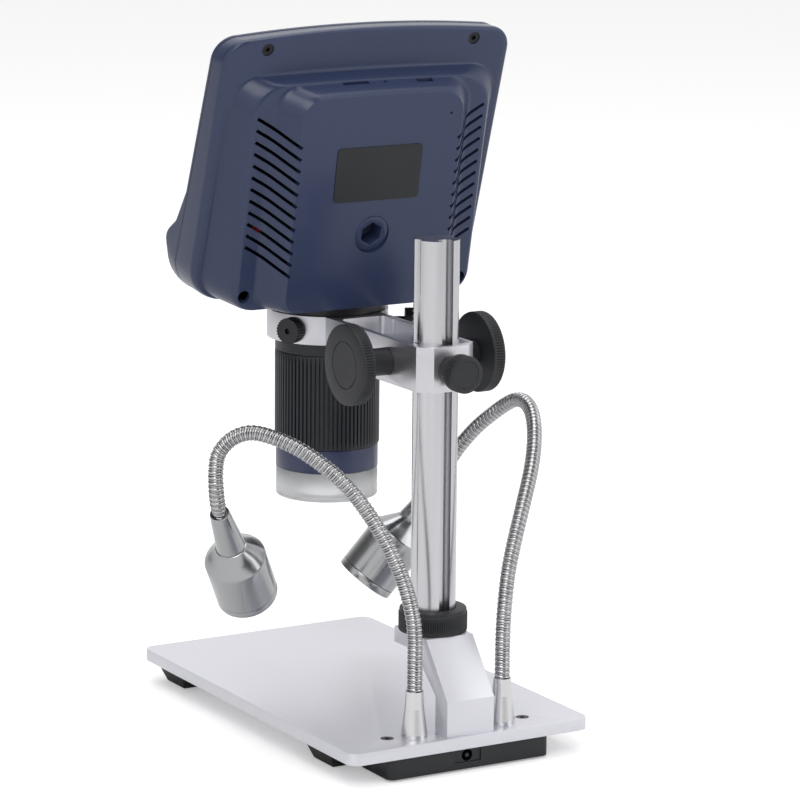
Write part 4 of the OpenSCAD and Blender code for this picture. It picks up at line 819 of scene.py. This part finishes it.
def focus_grip():
    """The rubber focus ring: deep ribs all along its wall, between rounded rims."""
    r, lo, hi, rim = GRIP_R, GRIP_BOT, GRIP_TOP, 0.7
    prof = ([(GRIP_BORE, lo), (r - rim, lo), (r - 0.3 * rim, lo + 0.3 * rim), (r, lo + rim)]
            + [(r, z) for z in np.linspace(lo + rim, hi - rim, 14)[1:-1]]
            + [(r, hi - rim), (r - 0.3 * rim, hi - 0.3 * rim), (r - rim, hi), (GRIP_BORE, hi)])
    bump = ribbed(GRIP_RIBS, 0.8, lo + 0.65, hi - 0.65, 0.6, 0.5)
    ob = turned("ribbed_focus_grip", prof, GRIP_RIBS * 10, bump, 32)
    finish(put(ob, at=(0, OPTIC_Y, 0)), "focus_ring", RUBBER, ("focus_grip",))


def nose_ring():
    """The smooth ring below the grip, with a spigot up into the tube and a seat for the light ring."""
    r, z, h = NOSE_R, NOSE_BOT, NOSE_H
    prof = [(LIGHT_SEAT, z), (r - 0.3, z), (r - 0.08, z + 0.1), (r, z + 0.35), (r, z + h / 2), (r, z + h - 0.35),
            (r - 0.08, z + h - 0.1), (r - 0.3, z + h), (NOSE_SPIGOT, z + h), (NOSE_SPIGOT, z + h + 2),
            (LIGHT_BORE, z + h + 2), (LIGHT_BORE, z + 4), (LIGHT_SEAT, z + 4)]
    ob = turned("smooth_nose_ring", prof, 160)
    finish(put(ob, at=(0, OPTIC_Y, 0)), "microscope_head", NAVY_RING, ("nose_ring",))


def light_cap():
    """The frosted cap under the nose ring, with a spigot up into it and an opening below the lens."""
    r, z, h = CAP_R, CAP_BOT, CAP_H
    prof = [(CAP_OPENING, z), (r - 0.7, z), (r - 0.3, z + 0.1), (r - 0.05, z + 0.35), (r, z + 0.7), (r, z + 6),
            (r, z + h - 0.36), (r - 0.1, z + h - 0.11), (r - 0.4, z + h), (CAP_SPIGOT, z + h),
            (CAP_SPIGOT, z + h + 1.54), (CAP_INNER, z + h + 1.54), (CAP_INNER, z + 1.5), (CAP_OPENING, z + 1.5)]
    ob = turned("frosted_light_cap", prof, 160)
    finish(put(ob, at=(0, OPTIC_Y, 0)), "microscope_head", FROST, ("frosted_cap",))


def lock_knob():
    """The knob behind the arm: a plain neck, then a ribbed head with a shallow dish."""
    r, h, n, m = LOCK_R, LOCK_H, LOCK_NECK_R, LOCK_NECK_H
    prof = [(0, 0), (n - 0.4, 0), (n - 0.1, 0.1), (n, 0.4), (n, m), (r - 0.7, m), (r - 0.2, m + 0.2), (r, m + 0.7),
            (r, (m + h) / 2), (r, h - 0.7), (r - 0.2, h - 0.2), (r - 0.7, h), (6.2, h), (6.0, h - 0.3), (0, h - 0.3)]
    ob = turned("ribbed_lock_knob", prof, LOCK_RIBS * 6, ribbed(LOCK_RIBS, 0.4, m + 0.5, h - 0.5, soften=0.4), 32)
    finish(put(ob, turn_x(-90), (0, LOCK_Y, ARM_Z)), "lock_screw", KNOB, ("lock_knob",))


def side_lamp(hand, side, path, aim):
    """A lamp hanging down from its ball: thin tapering sleeve, cone, cylinder and end ring as two turned profiles,
    leaned and turned by aim, with its ball at the end of the neck's path."""
    r, top, rim, end = LAMP_R, LAMP_TOP, LAMP_RIM, LAMP_END
    cup = [(BALL_CUP_R * math.cos(a), -BALL_CUP_R * math.sin(a)) for a in np.linspace(0.03, math.pi / 2, 9)]
    cup[-1] = (0, -BALL_CUP_R)
    sleeve = [(6.45, -23.7), (6.45, -23.3), (6.68, -23.1), (6.6, -22.4), (5.5, -11.4), (4.45, -0.7), (4.33, -0.2),
              (4.2, 0)]
    housing = [(0, LAMP_CEILING), (LAMP_BORE, LAMP_CEILING), (LAMP_BORE, rim), (r - 0.2, rim), (r, rim + 0.2), (r, -48),
               (r, -40), (r, top - 0.8), (r - 0.08, top - 0.45), (r - 0.3, top - 0.05), (10.5, -28.4), (7.35, -24.5),
               (7.2, -24.2), (7.1, -23.9)] + sleeve + cup
    ring = [(LAMP_EYE, end), (r - 0.3, end), (r - 0.07, end + 0.1), (r, end + 0.35), (r, rim - 0.4),
            (r - 0.1, rim - 0.15), (r - 0.3, rim - 0.1), (LAMP_BORE - 0.05, rim - 0.1),
            (LAMP_BORE - 0.05, rim + 3), (LAMP_EYE, rim + 3)]
    x, y, z = path[-1]
    base = (side * SOCKET[0] + x, SOCKET[1] + y, z)
    body = hand + "_lamp"
    for part, prof, node in (("housing", housing, body), ("end_ring", ring, body + "_ring")):
        ob = turned(f"{hand}_side_lamp_{part}", prof, 128, smooth=28)
        put(ob, turn_z(aim[1]) @ turn_y(aim[0]), base)
        finish(ob, body, TURNED, (node,))


focus_knob("right", 1)
focus_knob("left", -1)
ring_nut()
focus_grip()
nose_ring()
light_cap()
lock_knob()
side_lamp("right", 1, RIGHT_PATH, RIGHT_AIM)
side_lamp("left", -1, LEFT_PATH, LEFT_AIM)

for node, body, width, mat, slot in (("arm", "carriage", 0.5, ARM_SHADED_METAL, "bead_blasted_aluminium"),
                                     ("column_foot", "stand", 0.4, BLASTED, "bead_blasted_aluminium"),
                                     ("base_plate", "stand", 0.45, BLASTED, "bead_blasted_aluminium"),
                                     ("control_box", "stand", 0.5, BLACK, "black_plastic"),
                                     ("rubber_feet", "stand", 0.35, FOOT_RUBBER, "black_rubber")):
    finish(softened(node, width), body, mat, (node,))


# ------------------------------------------------------------------ room, light
# brightness of the world, as glossy rays see it, by the share of the way round from -X
BANDS = [(0.0, 0.8), (0.08, 0.95), (0.24, 0.95), (0.29, 0.4), (0.36, 0.15), (0.45, 0.22), (0.50, 0.95), (0.62, 1.0),
         (0.67, 0.75), (0.71, 0.18), (0.80, 0.10), (0.84, 0.35), (0.88, 0.95), (0.95, 0.9), (1.0, 0.8)]
EVEN_LIGHT, FLOOR_GLOW, FLOOR_SIZE, FLOOR_GAP = 0.62, 0.32, 6.0, 0.0002


def world_light():
    """Even pale light. Glossy rays see soft dark bands between bright ones instead, and rays that come straight from
    the camera or through clear matter see plain white."""
    w = bpy.data.worlds.new("studio")
    bpy.context.scene.world = w
    w.use_nodes = True
    nt = w.node_tree
    nt.nodes.clear()
    out = nt.nodes.new("ShaderNodeOutputWorld")
    path = nt.nodes.new("ShaderNodeLightPath")
    even = nt.nodes.new("ShaderNodeBackground")
    even.inputs["Color"].default_value = (1, 1, 1, 1)
    even.inputs["Strength"].default_value = EVEN_LIGHT
    seen = nt.nodes.new("ShaderNodeBackground")
    seen.inputs["Color"].default_value = (1, 1, 1, 1)
    seen.inputs["Strength"].default_value = 1.0
    tc = nt.nodes.new("ShaderNodeTexCoord")
    sep = nt.nodes.new("ShaderNodeSeparateXYZ")
    nt.links.new(tc.outputs["Generated"], sep.inputs[0])
    at2 = nt.nodes.new("ShaderNodeMath")
    at2.operation = "ARCTAN2"
    nt.links.new(sep.outputs["Y"], at2.inputs[0])
    nt.links.new(sep.outputs["X"], at2.inputs[1])
    rng = nt.nodes.new("ShaderNodeMapRange")
    rng.inputs["From Min"].default_value = -math.pi
    rng.inputs["From Max"].default_value = math.pi
    nt.links.new(at2.outputs[0], rng.inputs["Value"])
    ramp = nt.nodes.new("ShaderNodeValToRGB")
    el = ramp.color_ramp.elements
    for e, (pos, v) in zip(el, (BANDS[0], BANDS[-1])):
        e.position = pos
        e.color = (v, v, v, 1)
    for pos, v in BANDS[1:-1]:
        e = el.new(pos)
        e.color = (v, v, v, 1)
    nt.links.new(rng.outputs["Result"], ramp.inputs["Fac"])
    mirror = nt.nodes.new("ShaderNodeBackground")
    nt.links.new(ramp.outputs["Color"], mirror.inputs["Color"])
    mirror.inputs["Strength"].default_value = 1.0
    mix1 = nt.nodes.new("ShaderNodeMixShader")
    nt.links.new(path.outputs["Is Glossy Ray"], mix1.inputs["Fac"])
    nt.links.new(even.outputs[0], mix1.inputs[1])
    nt.links.new(mirror.outputs[0], mix1.inputs[2])
    direct = nt.nodes.new("ShaderNodeMath")
    direct.operation = "MAXIMUM"
    nt.links.new(path.outputs["Is Camera Ray"], direct.inputs[0])
    nt.links.new(path.outputs["Is Transmission Ray"], direct.inputs[1])
    mix2 = nt.nodes.new("ShaderNodeMixShader")
    nt.links.new(direct.outputs[0], mix2.inputs["Fac"])
    nt.links.new(mix1.outputs[0], mix2.inputs[1])
    nt.links.new(seen.outputs[0], mix2.inputs[2])
    nt.links.new(mix2.outputs[0], out.inputs["Surface"])


def softbox(name, at, aim, size, power):
    """A square area light at a point, facing another; places and sizes in metres, power in watts."""
    d = bpy.data.lights.new(name, "AREA")
    d.shape = "RECTANGLE"
    d.size, d.size_y = size
    d.energy = power
    ob = bpy.data.objects.new(name, d)
    bpy.context.scene.collection.objects.link(ob)
    ob.location = at
    ob.rotation_euler = (Vector(aim) - Vector(at)).to_track_quat("-Z", "Y").to_euler()


def floor():
    """A pale floor under the feet. The camera sees it nearly white, with the shadow left in."""
    me = bpy.data.meshes.new("floor")
    s = FLOOR_SIZE
    z = FLOOR_Z * MM - FLOOR_GAP
    me.from_pydata([(-s, -s, z), (s, -s, z), (s, s, z), (-s, s, z)], [], [(0, 1, 2, 3)])
    ob = bpy.data.objects.new("floor", me)
    bpy.context.scene.collection.objects.link(ob)
    m = bpy.data.materials.new("floor_paint")
    m.use_nodes = True
    nt = m.node_tree
    p = nt.nodes["Principled BSDF"]
    p.inputs["Base Color"].default_value = (0.9, 0.9, 0.9, 1)
    p.inputs["Roughness"].default_value = 0.9
    p.inputs["Specular IOR Level"].default_value = 0.1
    path = nt.nodes.new("ShaderNodeLightPath")
    glow = nt.nodes.new("ShaderNodeEmission")
    glow.inputs["Strength"].default_value = FLOOR_GLOW
    add = nt.nodes.new("ShaderNodeAddShader")
    mix = nt.nodes.new("ShaderNodeMixShader")
    nt.links.new(path.outputs["Is Camera Ray"], mix.inputs["Fac"])
    nt.links.new(p.outputs[0], mix.inputs[1])
    nt.links.new(p.outputs[0], add.inputs[0])
    nt.links.new(glow.outputs[0], add.inputs[1])
    nt.links.new(add.outputs[0], mix.inputs[2])
    nt.links.new(mix.outputs[0], nt.nodes["Material Output"].inputs["Surface"])
    me.materials.append(m)


world_light()
floor()
softbox("key", (0.9, 1.3, 1.7), (0, 0, 0.12), (1.2, 1.2), 13)
softbox("fill", (-1.4, 1.6, 0.9), (0, 0, 0.12), (1.4, 1.4), 8)
softbox("top", (0.0, -0.3, 2.0), (0, 0, 0.1), (1.6, 1.6), 12)

bpy.context.scene.view_settings.view_transform = "Standard"
